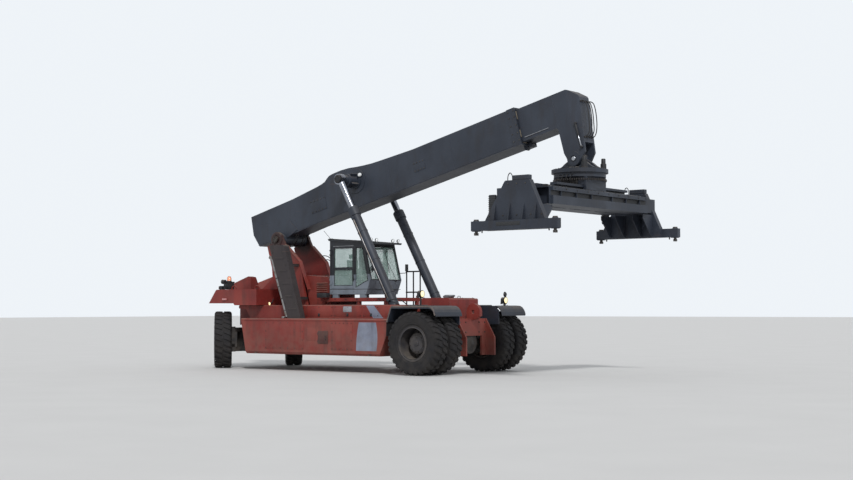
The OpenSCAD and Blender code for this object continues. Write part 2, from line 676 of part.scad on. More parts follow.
// Top of the outer boom from the tail to the end of the hump, as [u, height above boom_top]
hump = [[-1090, -50], [667, -22], [1658, 44], [1850, 66], [1990, 98], [2100, 170], [2190, 215],
    [2330, 232], [2655, 233], [2960, 207], [3230, 155], [3520, 110], [3820, 75], [4110, 57],
    [5300, 0]];
module boom_outer() color("darkslategray") placed() in_boom() {
    half = boom_w / 2;
    difference() {
        union() {
            side_slab(concat([[-965, boom_low - 15], [-1122, boom_low + 377]],
                [for (p = hump) [p[0], boom_top + p[1]]],
                [[boom_l, boom_top], [boom_l, boom_low], [1200, boom_low],
                [600, boom_low - 20]]), [-half, half]);
            // Collar round the front end
            box([boom_l - 250, boom_l], [-half - 15, half + 15], [boom_low - 18, boom_top + 12]);
            // Hose guide under the mouth
            for (p = [[boom_l - 80, boom_low - 70], [boom_l + 70, boom_low - 30]]) {
                bar_y(p, [-60, 60], 55);
                box([p[0] - 55, min(p[0] + 55, boom_l)], [-60, 60], [p[1], boom_low]);
            }
            box([boom_l - 1, boom_l + 70], [-60, 60], [boom_low - 30, boom_low + 25]);
            // Bosses of the boom pin, out to the tower plates
            bar_y([0, 0], [-tower_y + seat_gap, tower_y - seat_gap], 170);
            // Cheeks round the boom pin
            both_sides() side_slab([[-300, boom_low - 100], [-420, boom_low + 260],
                [-180, boom_low + 420], [380, boom_low + 420], [640, boom_low + 40],
                [300, boom_low - 60]], [-half - 20, -half + 1]);
            // Trunnions of the lift cylinders
            both_sides() {
                bar_y([lift_u, lift_v], [-lift_boss_y, -half], 135);
                bar_y([lift_u, lift_v], [-half - 60, -half + 1], 230);
                for (a = [45:90:315]) translate([lift_u, -half, lift_v]) rotate([0, a, 0])
                    rotate([90, 0, 0]) linear_extrude(330)
                        polygon([[120, -12], [220, -12], [220, 12], [120, 12]]);
            }
        }
        // The space that the inner boom slides in
        box([bay_start, boom_l + 1], [-half + boom_t, half - boom_t],
            [boom_low + boom_t, boom_top - boom_t]);
        bar_y([0, 0], [-tower_y, tower_y], boom_pin_r + pin_gap);
    }
    // Slide pads under the inner boom
    both_sides() box([boom_l - 420, boom_l - 60], [-half + boom_t + 40, -100],
        [boom_low + boom_t - 1, inner_low - seat_gap]);
}
// Underside and top of the inner boom
inner_low = boom_low + boom_t + 30;
inner_top = boom_top - boom_t - 17;

head_eye_r = 190;
// Rear end of the inner boom at rest
inner_tail = 1900;
module boom_inner() color("darkslategray") placed() in_boom() {
    half = boom_w / 2 - boom_t - boom_gap;
    difference() {
        union() {
            box([inner_tail, head_u], [-half, half], [inner_low, inner_top]);
            // Rear slide pad
            box([inner_tail, inner_tail + 400], [-half, half],
                [boom_low + boom_t + seat_gap, inner_low]);
            // Head, turned down at the front and narrower there
            intersection() {
                side_slab([[head_u - 60, inner_low], [head_u - 60, inner_top],
                    [head_u + 440, inner_top], [head_u + 490, inner_top - 20],
                    [head_u + 740, inner_top - 230], [head_u + 765, inner_top - 290],
                    [head_u + 600, tilt_v + 80], [tilt_u + 130, tilt_v - 139],
                    [tilt_u - 134, tilt_v - 134], [head_u + 10, tilt_v + 215],
                    [head_u, inner_low - 60], [head_u - 30, inner_low]], [-half, half]);
                translate([0, 0, tilt_v - 300]) linear_extrude(2400) polygon([
                    [head_u - 60, -half], [head_u + 440, -half], [head_u + 770, -half + 60],
                    [head_u + 770, half - 60], [head_u + 440, half], [head_u - 60, half]]);
            }
            bar_y([tilt_u, tilt_v], [-half, half], head_eye_r);
            // Eye plates of the damping cylinders, on the front of the head
            both_sides() side_slab([[head_u + 560, inner_low - 40], [head_u + 690, inner_low + 40],
                [head_u + 690, inner_low + 200], [head_u + 560, inner_low + 260]],
                [-half + 80, -half + 110]);
        }
        // Hollow inside of the tube
        box([inner_tail - 1, head_u - 100], [-half + boom_t, half - boom_t],
            [inner_low + boom_t, inner_top - boom_t]);
        // Fork that takes the tilt frame
        box([tilt_u - 500, tilt_u + 600], [-half + fork_t, half - fork_t],
            [tilt_v - 400, tilt_v + 330]);
        bar_y([tilt_u, tilt_v], [-half - 1, half + 1], tilt_pin_r + pin_gap);
    }
}
tilt_pin_r = 70;
fork_t = 90;

/* Spreader. Heights count down from the tilt axis. */

function below_tilt(drops) = [for (d = drops) tilt[1] - d];
table_z = below_tilt([270, 370, 370 + seat_gap, 480]);
slide_z = below_tilt([700, 860]);
tube_z = [slide_z[1], slide_z[1] - tube_h];
beam_z = [lock_tip + 110, lock_tip + 340];

// Outer face of the lugs of the tilt frame, inside the fork of the head
lug_y = boom_w / 2 - boom_t - boom_gap - fork_t - run_gap;
// Flared side of the tilt frame from a lug down to the turntable, as [half width, drop]
flare = [[150, 0], [330, 110], [400, 170], [500, 225], [turntable_r - 40, 270]];
module tilt_frame() color("dimgray") placed() {
    outline = concat([for (p = flare) [-p[0], -p[1]]],
        [for (i = [len(flare) - 1:-1:0]) [flare[i][0], -flare[i][1]]]);
    bar_z([tilt[0], 0], [table_z[1], table_z[0]], turntable_r);
    // Hub under the lugs
    translate([tilt[0], 0, table_z[0] - 1]) cylinder(r1 = 470, r2 = 380, h = 62);
    both_sides() {
        side_slab([for (p = outline) tilt + p], [-lug_y, -lug_y + 110]);
        bar_y(tilt, [-lug_y, -lug_y + 110], 150);
        // Ribs that brace the lugs sideways
        for (x = [-260, -100, 80, 240]) cross_slab([[-lug_y + 1, table_z[0] - 1],
            [-lug_y + 1, tilt[1] - head_eye_r - run_gap],
            [-lug_y - 200, tilt[1] - head_eye_r - run_gap], [-turntable_r + 80, table_z[0] - 1]],
            [tilt[0] + x, tilt[0] + x + 20]);
    }
    bar_y(tilt, [-lug_y - fork_t, lug_y + fork_t], tilt_pin_r);
}

module rotator() color("dimgray") placed() {
    bar_z([tilt[0], 0], [table_z[3], table_z[2]], turntable_r - 60);
    box([tilt[0] - 420, tilt[0] + 420], [-480, 480], [slide_z[0] + run_gap, table_z[3]]);
    // Slide pads on the rails
    for (x = [-330, 230]) for (y = [-440, 300])
        box([tilt[0] + x, tilt[0] + x + 100], [y, y + 140],
            [slide_z[0] + seat_gap, slide_z[0] + run_gap + 1]);
    // Hooks that hold the slide rails
    for (s = [-1, 1]) {
        translate([tilt[0], 0, 0]) mirror([s < 0 ? 1 : 0, 0, 0]) {
            box([420, 480], [-480, 480], [slide_z[1] + 40, table_z[3]]);
            box([370 + run_gap, 480], [-480, 480], [slide_z[1] + 40, slide_z[0] - 60 - run_gap]);
        }
    }
}

module spreader_frame() color("dimgray") placed() translate([tilt[0], 0, 0]) {
    wall = 20;
    for (s = [0, 1]) mirror([s, 0, 0]) difference() {
        box([40, 40 + tube_w], [-tube_l / 2, tube_l / 2], [tube_z[1], tube_z[0]]);
        box([40 + wall, 40 + tube_w - wall], [-tube_l / 2 - 1, tube_l / 2 + 1],
            [tube_z[1] + wall, tube_z[0] - wall]);
    }
    // Upper and lower band along the outer face of each tube
    band = 40 + tube_w - 1;
    for (s = [0, 1]) mirror([s, 0, 0]) {
        box([band, band + 71], [-tube_l / 2 + 60, tube_l / 2 - 60], [tube_z[0] - 95, tube_z[0]]);
        box([band, band + 71], [-tube_l / 2 + 60, tube_l / 2 - 60], [tube_z[1], tube_z[1] + 205]);
    }
    // Slide pads in the mouths of the tubes
    for (a = [0, 180]) rotate([0, 0, a])
        box([40 + wall + 60, 40 + tube_w - wall - 60], [tube_l / 2 - 160, tube_l / 2],
            [tube_z[1] + wall - 1, tube_z[1] + wall + beam_gap - seat_gap]);
    // Cross members that join the two tubes
    for (y = [-tube_l / 2, -700, 700 - 200, tube_l / 2 - 200])
        box([-40, 40], [y, y + 200], [tube_z[1], tube_z[0]]);
    // Slide rails: a web with a flange on each side
    for (s = [0, 1]) mirror([s, 0, 0]) {
        box([200, 300], [-1700, 1700], [slide_z[1], slide_z[0] - 60]);
        box([200, 405], [-1700, 1700], [slide_z[0] - 60, slide_z[0]]);
    }
}

beam_gap = 8;
module end_beam(is_left) color("dimgray") placed() translate([tilt[0], 0, 0]) left(is_left) {
    y = -lock_long / 2;
    wall = 20;
    // Telescopic beam inside the spreader tube; the two beams lie side by side
    tube = [40 + wall + beam_gap, 40 + tube_w - wall - beam_gap];
    side = is_left ? 0 : 1;
    mirror([side, 0, 0]) {
        box(tube, [y + end_beam_w / 2, tube_l / 2 - 150],
            [tube_z[1] + wall + beam_gap, tube_z[0] - wall - beam_gap]);
        // Slide pad under its inner end
        box([tube[0] + 50, tube[1] - 50], [tube_l / 2 - 400, tube_l / 2 - 150],
            [tube_z[1] + wall + seat_gap, tube_z[1] + wall + beam_gap + 1]);
    }
    // Housing between the telescopic beam and the cross beam
    housing = [y + end_beam_w / 2, y + end_beam_w / 2 + 160];
    side_slab([[-930, beam_z[1]], [-900, beam_z[1] + 60], [-350, tube_z[0] + 130],
        [-320, tube_z[0] + 145], [360, tube_z[0] + 145], [800, beam_z[1]]], housing);
    // Gussets that run back along the telescopic beam
    for (x = [-700, -260, 240, 560]) cross_slab([[housing[1] - 1, beam_z[0] + 40],
        [housing[1] - 1, tube_z[1] - 20], [housing[1] + 500, tube_z[1] - 20],
        [housing[1] + 500, tube_z[1] - 120], [housing[1] + 80, beam_z[0] + 40]], [x, x + 20]);
    // Cross beam with the twistlock bores
    difference() {
        union() {
            box([-end_beam_half, end_beam_half], [y - end_beam_w / 2, y + end_beam_w / 2],
                beam_z);
            box([-930, 800], [y + end_beam_w / 2, y + end_beam_w / 2 + 160],
                beam_z);
        }
        for (x = [-lock_wide / 2, lock_wide / 2])
            bar_z([x, y], [beam_z[0] - 1, beam_z[1] + 1], lock_r + 4);
    }
}
module end_beam_right() end_beam(false);
module end_beam_left() end_beam(true);

lock_r = 38;
// x_side is -1 for the rear and 1 for the front, y_side is -1 for the right
module twistlock(x_side, y_side) color("silver") placed()
    translate([tilt[0] + x_side * lock_wide / 2, y_side * lock_long / 2, 0]) {
        bar_z([0, 0], [lock_tip + 40, beam_z[1] + 45], lock_r);
        bar_z([0, 0], [beam_z[1] + seat_gap, beam_z[1] + 45], 60);
        // Head, long across the spreader while it is unlocked
        translate([-32, -52, lock_tip]) cube([64, 104, 60]);
    }
module twistlock_rear_right() twistlock(-1, -1);
module twistlock_front_right() twistlock(1, -1);
module twistlock_rear_left() twistlock(-1, 1);
module twistlock_front_left() twistlock(1, 1);

/* Wheels */

rim_r = rim_d / 2;
// One tyre about its own centre, with its axle along Y
module tyre() rotate([90, 0, 0]) rotate_extrude() polygon([
    [rim_r, -tyre_w / 2 + 60], [rim_r + 60, -tyre_w / 2 + 15],
    [tyre_r - 200, -tyre_w / 2], [tyre_r - shoulder, -tyre_w / 2 + 15],
    [tyre_r, -tyre_w / 2 + 60], [tyre_r, tyre_w / 2 - 60],
    [tyre_r - shoulder, tyre_w / 2 - 15], [tyre_r - 200, tyre_w / 2],
    [rim_r + 60, tyre_w / 2 - 15], [rim_r, tyre_w / 2 - 60]]);

// A ring about the Y axis from a profile of [radius, y] points
module ring_y(profile) rotate([-90, 0, 0]) rotate_extrude() polygon(profile);

twin_pitch = (tyre_w + twin_gap) / 2;
module front_tyres(is_left) color("black") placed() left(is_left)
    for (y = [twin_y - twin_pitch, twin_y + twin_pitch])
        translate([0, -y, tyre_r]) tyre();
module front_tyres_right() front_tyres(false);
module front_tyres_left() front_tyres(true);

// Both rims of a twin with the hub that they are bolted to
module front_rims(is_left) color("dimgray") placed() left(is_left)
    translate([0, -twin_y, tyre_r]) mirror([0, 1, 0]) {
        edge = twin_pitch + tyre_w / 2 - 40;
        seat = rim_r - seat_gap;
        ring_y([[seat, -edge], [seat, edge], [seat - 35, edge], [seat - 35, 60],
            [270, 60], [270, 330], [230, 350], [0, 350], [0, 120],
            [stub_r + seat_gap, 120], [stub_r + seat_gap, -140], [270, -140], [270, 0],
            [seat - 35, 0], [seat - 35, -edge]]);
    }
module front_rims_right() front_rims(false);
module front_rims_left() front_rims(true);

module at_kingpin() translate([rear_x, -kingpin_y, 0]) children();
// Turns a rear wheel about its kingpin; the left wheel stands at the same angle
module steered(is_left) left(is_left) at_kingpin() rotate([0, 0, is_left ? -steer_rest : steer_rest])
    children();

hub_r = 85;
module knuckle(is_left) color("dimgray") placed() steered(is_left) {
    bar_z([0, 0], [eye_z[0] - 10, eye_z[3] + 30], kingpin_r);
    box([-110, 110], [-110, 110], [eye_z[1] + 3, eye_z[2] - 3]);
    bar_y([0, tyre_r], [-kingpin_offset - 60, 0], hub_r);
    // Steering arm
    box([100, 220], [-40, 40], [eye_z[1] + 100, eye_z[1] + 150]);
}
module knuckle_right() knuckle(false);
module knuckle_left() knuckle(true);

module rear_tyre(is_left) color("black") placed() steered(is_left)
    translate([0, -kingpin_offset, tyre_r]) tyre();
module rear_tyre_right() rear_tyre(false);
module rear_tyre_left() rear_tyre(true);

module rear_rim(is_left) color("dimgray") placed() steered(is_left)
    translate([0, -kingpin_offset, tyre_r]) mirror([0, 1, 0]) {
        edge = tyre_w / 2 - 40;
        seat = rim_r - seat_gap;
        ring_y([[seat, -edge], [seat, edge], [seat - 35, edge], [seat - 35, 60],
            [240, 60], [220, 150], [0, 160], [0, 75],
            [hub_r + seat_gap, 75], [hub_r + seat_gap, -60],
            [220, -60], [240, 0], [seat - 35, 0], [seat - 35, -edge]]);
    }
module rear_rim_right() rear_rim(false);
module rear_rim_left() rear_rim(true);

main_frame();
lift_brackets();
front_housing();
counterweight();
boom_tower();
exhaust_shield();
exhaust_pipe();
engine_hood();
engine_block();
drive_axle();
steer_axle();
side_tanks();
front_fenders();
cab_rails();
handrail();
lamp_posts();
beacon();
cab_shell();
cab_glass();
cab_seat();
cab_console();
door_right();
door_right_glass();
door_left();
door_left_glass();
lift_barrel_right();
lift_barrel_left();
lift_rod_right();
lift_rod_left();
boom_outer();
boom_inner();
tilt_frame();
rotator();
spreader_frame();
end_beam_right();
end_beam_left();
twistlock_rear_right();
twistlock_front_right();
twistlock_rear_left();
twistlock_front_left();
front_tyres_right();
front_rims_right();
front_tyres_left();
front_rims_left();
knuckle_right();
knuckle_left();
rear_tyre_right();
rear_rim_right();
rear_tyre_left();
rear_rim_left();
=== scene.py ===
import bpy, bmesh, json, math
from mathutils import Matrix, Vector

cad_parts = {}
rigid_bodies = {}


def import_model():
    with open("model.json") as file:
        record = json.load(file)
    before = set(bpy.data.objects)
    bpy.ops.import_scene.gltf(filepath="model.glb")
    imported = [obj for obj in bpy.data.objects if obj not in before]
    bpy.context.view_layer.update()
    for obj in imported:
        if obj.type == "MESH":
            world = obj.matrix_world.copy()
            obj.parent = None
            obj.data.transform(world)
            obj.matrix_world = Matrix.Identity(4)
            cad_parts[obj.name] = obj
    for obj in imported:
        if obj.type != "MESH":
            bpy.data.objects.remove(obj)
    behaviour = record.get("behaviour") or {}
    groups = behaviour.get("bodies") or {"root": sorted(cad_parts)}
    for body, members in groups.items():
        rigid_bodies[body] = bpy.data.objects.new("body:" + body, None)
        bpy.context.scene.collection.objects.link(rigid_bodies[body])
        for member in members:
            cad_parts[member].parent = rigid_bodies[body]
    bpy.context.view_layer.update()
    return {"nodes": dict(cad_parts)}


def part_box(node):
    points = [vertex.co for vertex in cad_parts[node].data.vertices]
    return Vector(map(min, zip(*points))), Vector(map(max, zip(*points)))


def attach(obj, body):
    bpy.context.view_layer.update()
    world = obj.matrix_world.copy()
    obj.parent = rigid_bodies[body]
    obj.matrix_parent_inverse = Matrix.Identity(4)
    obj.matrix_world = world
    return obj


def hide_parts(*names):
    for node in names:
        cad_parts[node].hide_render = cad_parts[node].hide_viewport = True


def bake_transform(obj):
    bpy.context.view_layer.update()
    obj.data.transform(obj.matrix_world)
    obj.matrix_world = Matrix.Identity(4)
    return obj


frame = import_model()
nodes = frame["nodes"]

# Places are measured along the machine from the ground under its front axle
AXLE_X = sum(corner[0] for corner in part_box("front_tyres_right")) / 2
TYRE_R = 0.8275
BOOM_ANGLE = math.radians(14.2)
PIVOT = Vector((-6.2 + AXLE_X, 0, 3.75))
LIFT_FOOT = (-1.35 + AXLE_X, 1.65)
LIFT_ANGLE = math.radians(119.07)
TILT = Vector((3.80133 + AXLE_X, 0, 5.49987))
SIDES = (("right", -1), ("left", 1))


def at(x, y, z):
    """A place on the machine, x ahead of the front axle"""
    return Vector((x + AXLE_X, y, z))


# The fitted camera: its focal length and the photograph's width, both in pixels
FOCAL_LENGTH, PHOTO_WIDTH = 1428, 853
SENSOR_WIDTH = 36


def photo_camera():
    """The photograph's viewing angle"""
    eye = at(22.86, -30.91, 1.76)
    yaw, pitch, roll = (math.radians(a) for a in (127.81, 2.70, -0.11))
    ahead = Vector((math.cos(pitch) * math.cos(yaw), math.cos(pitch) * math.sin(yaw),
                    math.sin(pitch)))
    level_right = Vector((math.sin(yaw), -math.cos(yaw), 0))
    level_up = level_right.cross(ahead)
    right = math.cos(roll) * level_right + math.sin(roll) * level_up
    up = math.cos(roll) * level_up - math.sin(roll) * level_right
    lens = bpy.data.cameras.new("photo_view")
    lens.sensor_width = SENSOR_WIDTH
    lens.lens = FOCAL_LENGTH / PHOTO_WIDTH * SENSOR_WIDTH
    lens.clip_end = 400
    camera = bpy.data.objects.new("photo_view", lens)
    bpy.context.scene.collection.objects.link(camera)
    turn = Matrix((right, up, -ahead)).transposed().to_4x4()
    camera.matrix_world = Matrix.Translation(eye) @ turn
    bpy.context.scene.camera = camera


photo_camera()


# Materials

def paint_colour(red, green, blue):
    """A colour given as a screen shows it, 0 to 255, as Blender wants it"""
    def linear(part):
        part /= 255
        return part / 12.92 if part <= 0.04045 else ((part + 0.055) / 1.055) ** 2.4
    return (linear(red), linear(green), linear(blue), 1)


def socket_name(words):
    """The shader's own name for a socket, from words joined by low lines"""
    return words.replace("_", " ").title().replace("Ior", "IOR")


class Value:
    """A number that varies over a surface: a node's socket that takes part in sums"""

    def __init__(self, surface, socket):
        self.surface, self.socket = surface, socket

    def maths(self, operation, *numbers):
        return self.surface.node("ShaderNodeMath", {"operation": operation}, numbers)

    def __add__(self, other):
        return self.maths("ADD", self, other)

    def __sub__(self, other):
        return self.maths("SUBTRACT", self, other)

    def __rsub__(self, other):
        return self.maths("SUBTRACT", other, self)

    def __mul__(self, other):
        return self.maths("MULTIPLY", self, other)

    def __truediv__(self, other):
        return self.maths("DIVIDE", self, other)

    __radd__ = __add__
    __rmul__ = __mul__

    def size(self):
        return self.maths("ABSOLUTE", self)

    def wave(self):
        return self.maths("SINE", self)

    def over(self, edge, soft):
        """0 below an edge and 1 above it, with a soft step between them"""
        return self.surface.node(
            "ShaderNodeMapRange", {"interpolation_type": "SMOOTHSTEP"},
            {"Value": self, "From Min": edge - soft, "From Max": edge + soft})

    def under(self, edge, soft):
        return 1 - self.over(edge, soft)

    def between(self, low, high, soft):
        return self.over(low, soft) * self.under(high, soft)


class Surface:
    """A material, with its Principled shader and the nodes that feed it"""

    def __init__(self, name, **constants):
        self.material = bpy.data.materials.new(name)
        self.material.use_nodes = True
        self.tree = self.material.node_tree
        self.tree.nodes.clear()
        self.shader = self.tree.nodes.new("ShaderNodeBsdfPrincipled")
        output = self.tree.nodes.new("ShaderNodeOutputMaterial")
        self.tree.links.new(self.shader.outputs["BSDF"], output.inputs["Surface"])
        for socket, value in constants.items():
            self.shader.inputs[socket_name(socket)].default_value = value
        place = self.tree.nodes.new("ShaderNodeTexCoord")
        self.place = Value(self, place.outputs["Object"])
        self.facing = Value(self, place.outputs["Normal"])
        self.x, self.y, self.z = self.parts(self.place)
        self.up = self.parts(self.facing)[2]

    def node(self, kind, settings, inputs, output=0):
        made = self.tree.nodes.new(kind)
        for name, value in settings.items():
            setattr(made, name, value)
        pairs = inputs.items() if isinstance(inputs, dict) else enumerate(inputs)
        for name, value in pairs:
            if isinstance(value, Value):
                self.tree.links.new(value.socket, made.inputs[name])
            else:
                made.inputs[name].default_value = value
        return Value(self, made.outputs[output])

    def parts(self, vector):
        made = self.tree.nodes.new("ShaderNodeSeparateXYZ")
        self.tree.links.new(vector.socket, made.inputs[0])
        return [Value(self, made.outputs[i]) for i in range(3)]

    def stretched(self, stretch):
        return self.node("ShaderNodeMapping", {}, {"Vector": self.place, "Scale": stretch})

    def noise(self, scale, detail=3, stretch=(1, 1, 1), rough=0.55):
        return self.node("ShaderNodeTexNoise", {}, {
            "Vector": self.stretched(stretch), "Scale": scale, "Detail": detail,
            "Roughness": rough})

    def cells(self, scale, stretch=(1, 1, 1)):
        return self.node("ShaderNodeTexVoronoi", {}, {
            "Vector": self.stretched(stretch), "Scale": scale})

    def mix(self, share, first, second):
        return self.node("ShaderNodeMix", {"data_type": "RGBA"},
                         {0: share, 6: first, 7: second}, 2)

    def feed(self, **sockets):
        for name, value in sockets.items():
            self.tree.links.new(value.socket, self.shader.inputs[socket_name(name)])

    def bump(self, height, depth, strength=0.5):
        self.feed(normal=self.node("ShaderNodeBump", {}, {
            "Height": height, "Distance": depth, "Strength": strength}))


DUST = paint_colour(118, 108, 96)
GRIME = paint_colour(38, 33, 32)
BARE_STEEL = paint_colour(92, 84, 80)
RUST = paint_colour(96, 58, 42)


def worn_paint(name, fresh, faded, gloss=0.5, dust=0.5, grime=0.6, chips=0.6, road=1.2,
               marks=None):
    """Old machine paint: bleached in patches, streaked with dirt, dusty on top, chipped to
    rust along scratches, and darker with road dirt below the height of road"""
    s = Surface(name, metallic=0.0, specular_ior_level=0.4)
    patches = s.noise(0.8, 4, (1, 1, 0.7)).over(0.52, 0.16)
    colour = s.mix(patches * 0.75, fresh, faded)
    fine = s.noise(14, 5)
    colour = s.mix(fine.over(0.5, 0.25) * 0.22, colour, faded)
    if marks:
        colour = marks(s, colour)
    # Dirt that rain has drawn down the upright faces
    upright = s.up.size().under(0.5, 0.25)
    streaks = s.noise(7, 5, (1, 1, 0.09)).over(0.58, 0.12) * s.noise(1.3, 3).over(0.5, 0.2)
    colour = s.mix(streaks * upright * grime * 0.7, colour, GRIME)
    smears = s.noise(2.6, 5, (1, 1, 0.5)).over(0.6, 0.12)
    colour = s.mix(smears * grime * 0.55, colour, GRIME)
    # Dust that lies on top, and road dirt near the ground
    lying = s.up.over(0.55, 0.3) * s.noise(5, 5).over(0.42, 0.22)
    colour = s.mix(lying * dust, colour, DUST)
    low = s.z.under(road, 0.7) * s.noise(4, 5).over(0.45, 0.25) * 0.6
    colour = s.mix(low * dust, colour, DUST)
    chipped = s.noise(34, 2, (1, 1, 1), 0.4).over(0.72, 0.015) * s.noise(1.1, 2).over(0.5, 0.1)
    scratches = s.noise(9, 2, (0.12, 0.12, 3.2)).over(0.735, 0.012)
    bare = (chipped + scratches * 0.7) * chips
    colour = s.mix(bare, colour, s.mix(fine, RUST, BARE_STEEL))
    s.feed(base_color=colour,
           roughness=gloss + lying * 0.25 + low * 0.25 + fine * 0.12 - patches * 0.04)
    s.bump(s.noise(160, 2) * 0.4 + fine * 0.6 - bare * 2, 0.0012, 0.35)
    return s.material


def tank_stripes(s, colour):
    """Two slanted grey stripes on each side, ahead of the filler"""
    x = s.x - AXLE_X
    side = s.y.size()
    upper = (side.over(1.3, 0.01) * s.z.between(1.47, 1.815, 0.004)
             * (x + (s.z - 1.80) * 0.73).over(-2.24 + 0.1, 0.004)
             * (x + (s.z - 1.80) * 0.95).under(-1.86, 0.004) * side.under(1.5, 0.02))
    bowed = (s.z - 0.95) * (s.z - 0.95) * 0.32
    lower = (side.over(1.72, 0.01) * s.z.between(0.60, 1.36, 0.004)
             * (x - (s.z - 0.57) * 0.12 - bowed * 0.5).over(-2.19, 0.004)
             * (x + bowed).under(-1.42, 0.004))
    return s.mix(upper + lower, colour, s.mix(s.noise(3, 4).over(0.5, 0.3),
                                              paint_colour(136, 144, 162),
                                              paint_colour(112, 118, 136)))


RED_FRESH, RED_FADED = paint_colour(118, 36, 32), paint_colour(138, 62, 52)
SLATE_FRESH, SLATE_FADED = paint_colour(37, 42, 52), paint_colour(54, 60, 71)
red_paint = worn_paint("red_paint", RED_FRESH, RED_FADED)
tank_paint = worn_paint("tank_paint", RED_FRESH, RED_FADED, marks=tank_stripes)
slate_paint = worn_paint("slate_paint", SLATE_FRESH, SLATE_FADED, gloss=0.48, dust=0.4,
                         grime=0.55, chips=0.5, road=-5)
frame_black = worn_paint("frame_black", paint_colour(25, 26, 29), paint_colour(42, 43, 47),
                         gloss=0.5, dust=0.6, chips=0.4)
shield_paint = worn_paint("shield_paint", paint_colour(46, 41, 44), paint_colour(68, 60, 58),
                          gloss=0.6, grime=0.9, chips=0.8)


def cab_marks(s, colour):
    """The cab is light grey below its windows and nearly black above"""
    x = s.x - AXLE_X
    edge = 2.66 + (x + 4.05) * 0.02
    return s.mix(s.z.over(0, 0.004) * (s.z - edge).over(0, 0.004), colour,
                 paint_colour(34, 37, 42))


cab_paint = worn_paint("cab_paint", paint_colour(108, 117, 128), paint_colour(128, 136, 145),
                       gloss=0.4, dust=0.35, grime=0.4, chips=0.25, road=-5, marks=cab_marks)


def plain(name, colour, other, roughness, metallic=0.0, scale=20, depth=0.0006, grime=0.0):
    """A finish with two close colours in fine patches, a little grime and a fine grain"""
    s = Surface(name, metallic=metallic)
    patches = s.noise(scale, 4)
    mixed = s.mix(patches.over(0.5, 0.22), colour, other)
    dirt = s.noise(2.2, 5).over(0.52, 0.14)
    mixed = s.mix(dirt * grime, mixed, GRIME)
    s.feed(base_color=mixed, roughness=roughness + patches * 0.14 + dirt * grime * 0.3)
    s.bump(s.noise(scale * 9, 2), depth, 0.4)
    return s.material


black_plastic = plain("black_plastic", paint_colour(30, 31, 33), paint_colour(42, 43, 46), 0.5)
rubber_seal = plain("rubber_seal", paint_colour(20, 20, 22), paint_colour(31, 31, 33), 0.7)
hose_rubber = plain("hose_rubber", paint_colour(24, 24, 27), paint_colour(40, 38, 38), 0.55,
                    grime=0.4)
bolt_steel = plain("bolt_steel", paint_colour(98, 95, 92), paint_colour(66, 60, 56), 0.42, 0.75,
                   grime=0.4)
bright_steel = plain("bright_steel", paint_colour(176, 178, 182), paint_colour(146, 148, 152),
                     0.2, 0.95, grime=0.12)
pipe_steel = plain("pipe_steel", paint_colour(150, 150, 152), paint_colour(118, 108, 98), 0.32,
                   0.9, 9, grime=0.25)
cast_iron = plain("cast_iron", paint_colour(64, 62, 61), paint_colour(44, 42, 41), 0.6, 0.3, 30,
                  0.001, 0.6)
pad_nylon = plain("pad_nylon", paint_colour(120, 112, 98), paint_colour(96, 88, 74), 0.5)
step_plate = plain("step_plate", paint_colour(132, 134, 138), paint_colour(104, 104, 106), 0.45,
                   0.6, grime=0.35)
blank_plate = plain("blank_plate", paint_colour(158, 160, 166), paint_colour(140, 142, 148), 0.4,
                    grime=0.15)
grease = plain("grease", paint_colour(28, 23, 22), paint_colour(44, 35, 31), 0.28, 0.0, 40, 0.003)
floor_mat_rubber = plain("floor_mat_rubber", paint_colour(34, 34, 35), paint_colour(46, 46, 46),
                         0.75)


def lamp_glass(name, colour, strength):
    s = Surface(name, roughness=0.12, coat_weight=0.6, emission_strength=strength)
    ribs = (s.z * 420).wave() * 0.5 + 0.5
    lit = s.mix(ribs * 0.35, colour, paint_colour(255, 255, 255))
    s.feed(base_color=lit, emission_color=lit)
    s.bump(ribs, 0.002, 0.5)
    return s.material


lamp_warm = lamp_glass("lamp_warm", paint_colour(250, 226, 150), 0.9)
lamp_clear = lamp_glass("lamp_clear", paint_colour(222, 226, 226), 0.35)
lamp_red = lamp_glass("lamp_red", paint_colour(150, 22, 18), 0.12)
lamp_amber = lamp_glass("lamp_amber", paint_colour(232, 116, 20), 0.4)


def window_glass():
    s = Surface("window_glass", roughness=0.04, ior=1.45, coat_weight=0.4)
    film = s.noise(3, 5).over(0.5, 0.25)
    tint = s.mix(film, paint_colour(150, 180, 172), paint_colour(176, 200, 192))
    s.feed(base_color=tint, alpha=film * 0.1 + 0.26, roughness=film * 0.1 + 0.03)
    s.material.surface_render_method = "BLENDED"
    return s.material


cab_glass = window_glass()


def chrome_rod():
    s = Surface("chrome_rod", metallic=1.0)
    film = s.noise(6, 4, (1, 1, 0.3)).over(0.5, 0.2)
    rings = s.noise(60, 1).over(0.6, 0.1)
    s.feed(base_color=s.mix(film, paint_colour(150, 154, 162), paint_colour(112, 112, 118)),
           roughness=film * 0.18 + rings * 0.06 + 0.12)
    return s.material


rod_chrome = chrome_rod()


def tyre_rubber(name):
    """Black rubber, brown-grey with dust where it meets the road"""
    s = Surface(name, specular_ior_level=0.3)
    base = s.mix(s.noise(9, 5).over(0.5, 0.25), paint_colour(20, 20, 23), paint_colour(33, 32, 35))
    dusty = s.noise(3.5, 6).over(0.47, 0.2)
    low = s.z.under(0.5, 0.5) * 0.3 + 0.2
    colour = s.mix(dusty * low, base, paint_colour(78, 73, 68))
    s.feed(base_color=colour, roughness=0.66 + dusty * 0.2)
    s.bump(s.noise(70, 4) + s.cells(55) * 0.3, 0.002, 0.5)
    return s.material


rubber = tyre_rubber("tyre_rubber")


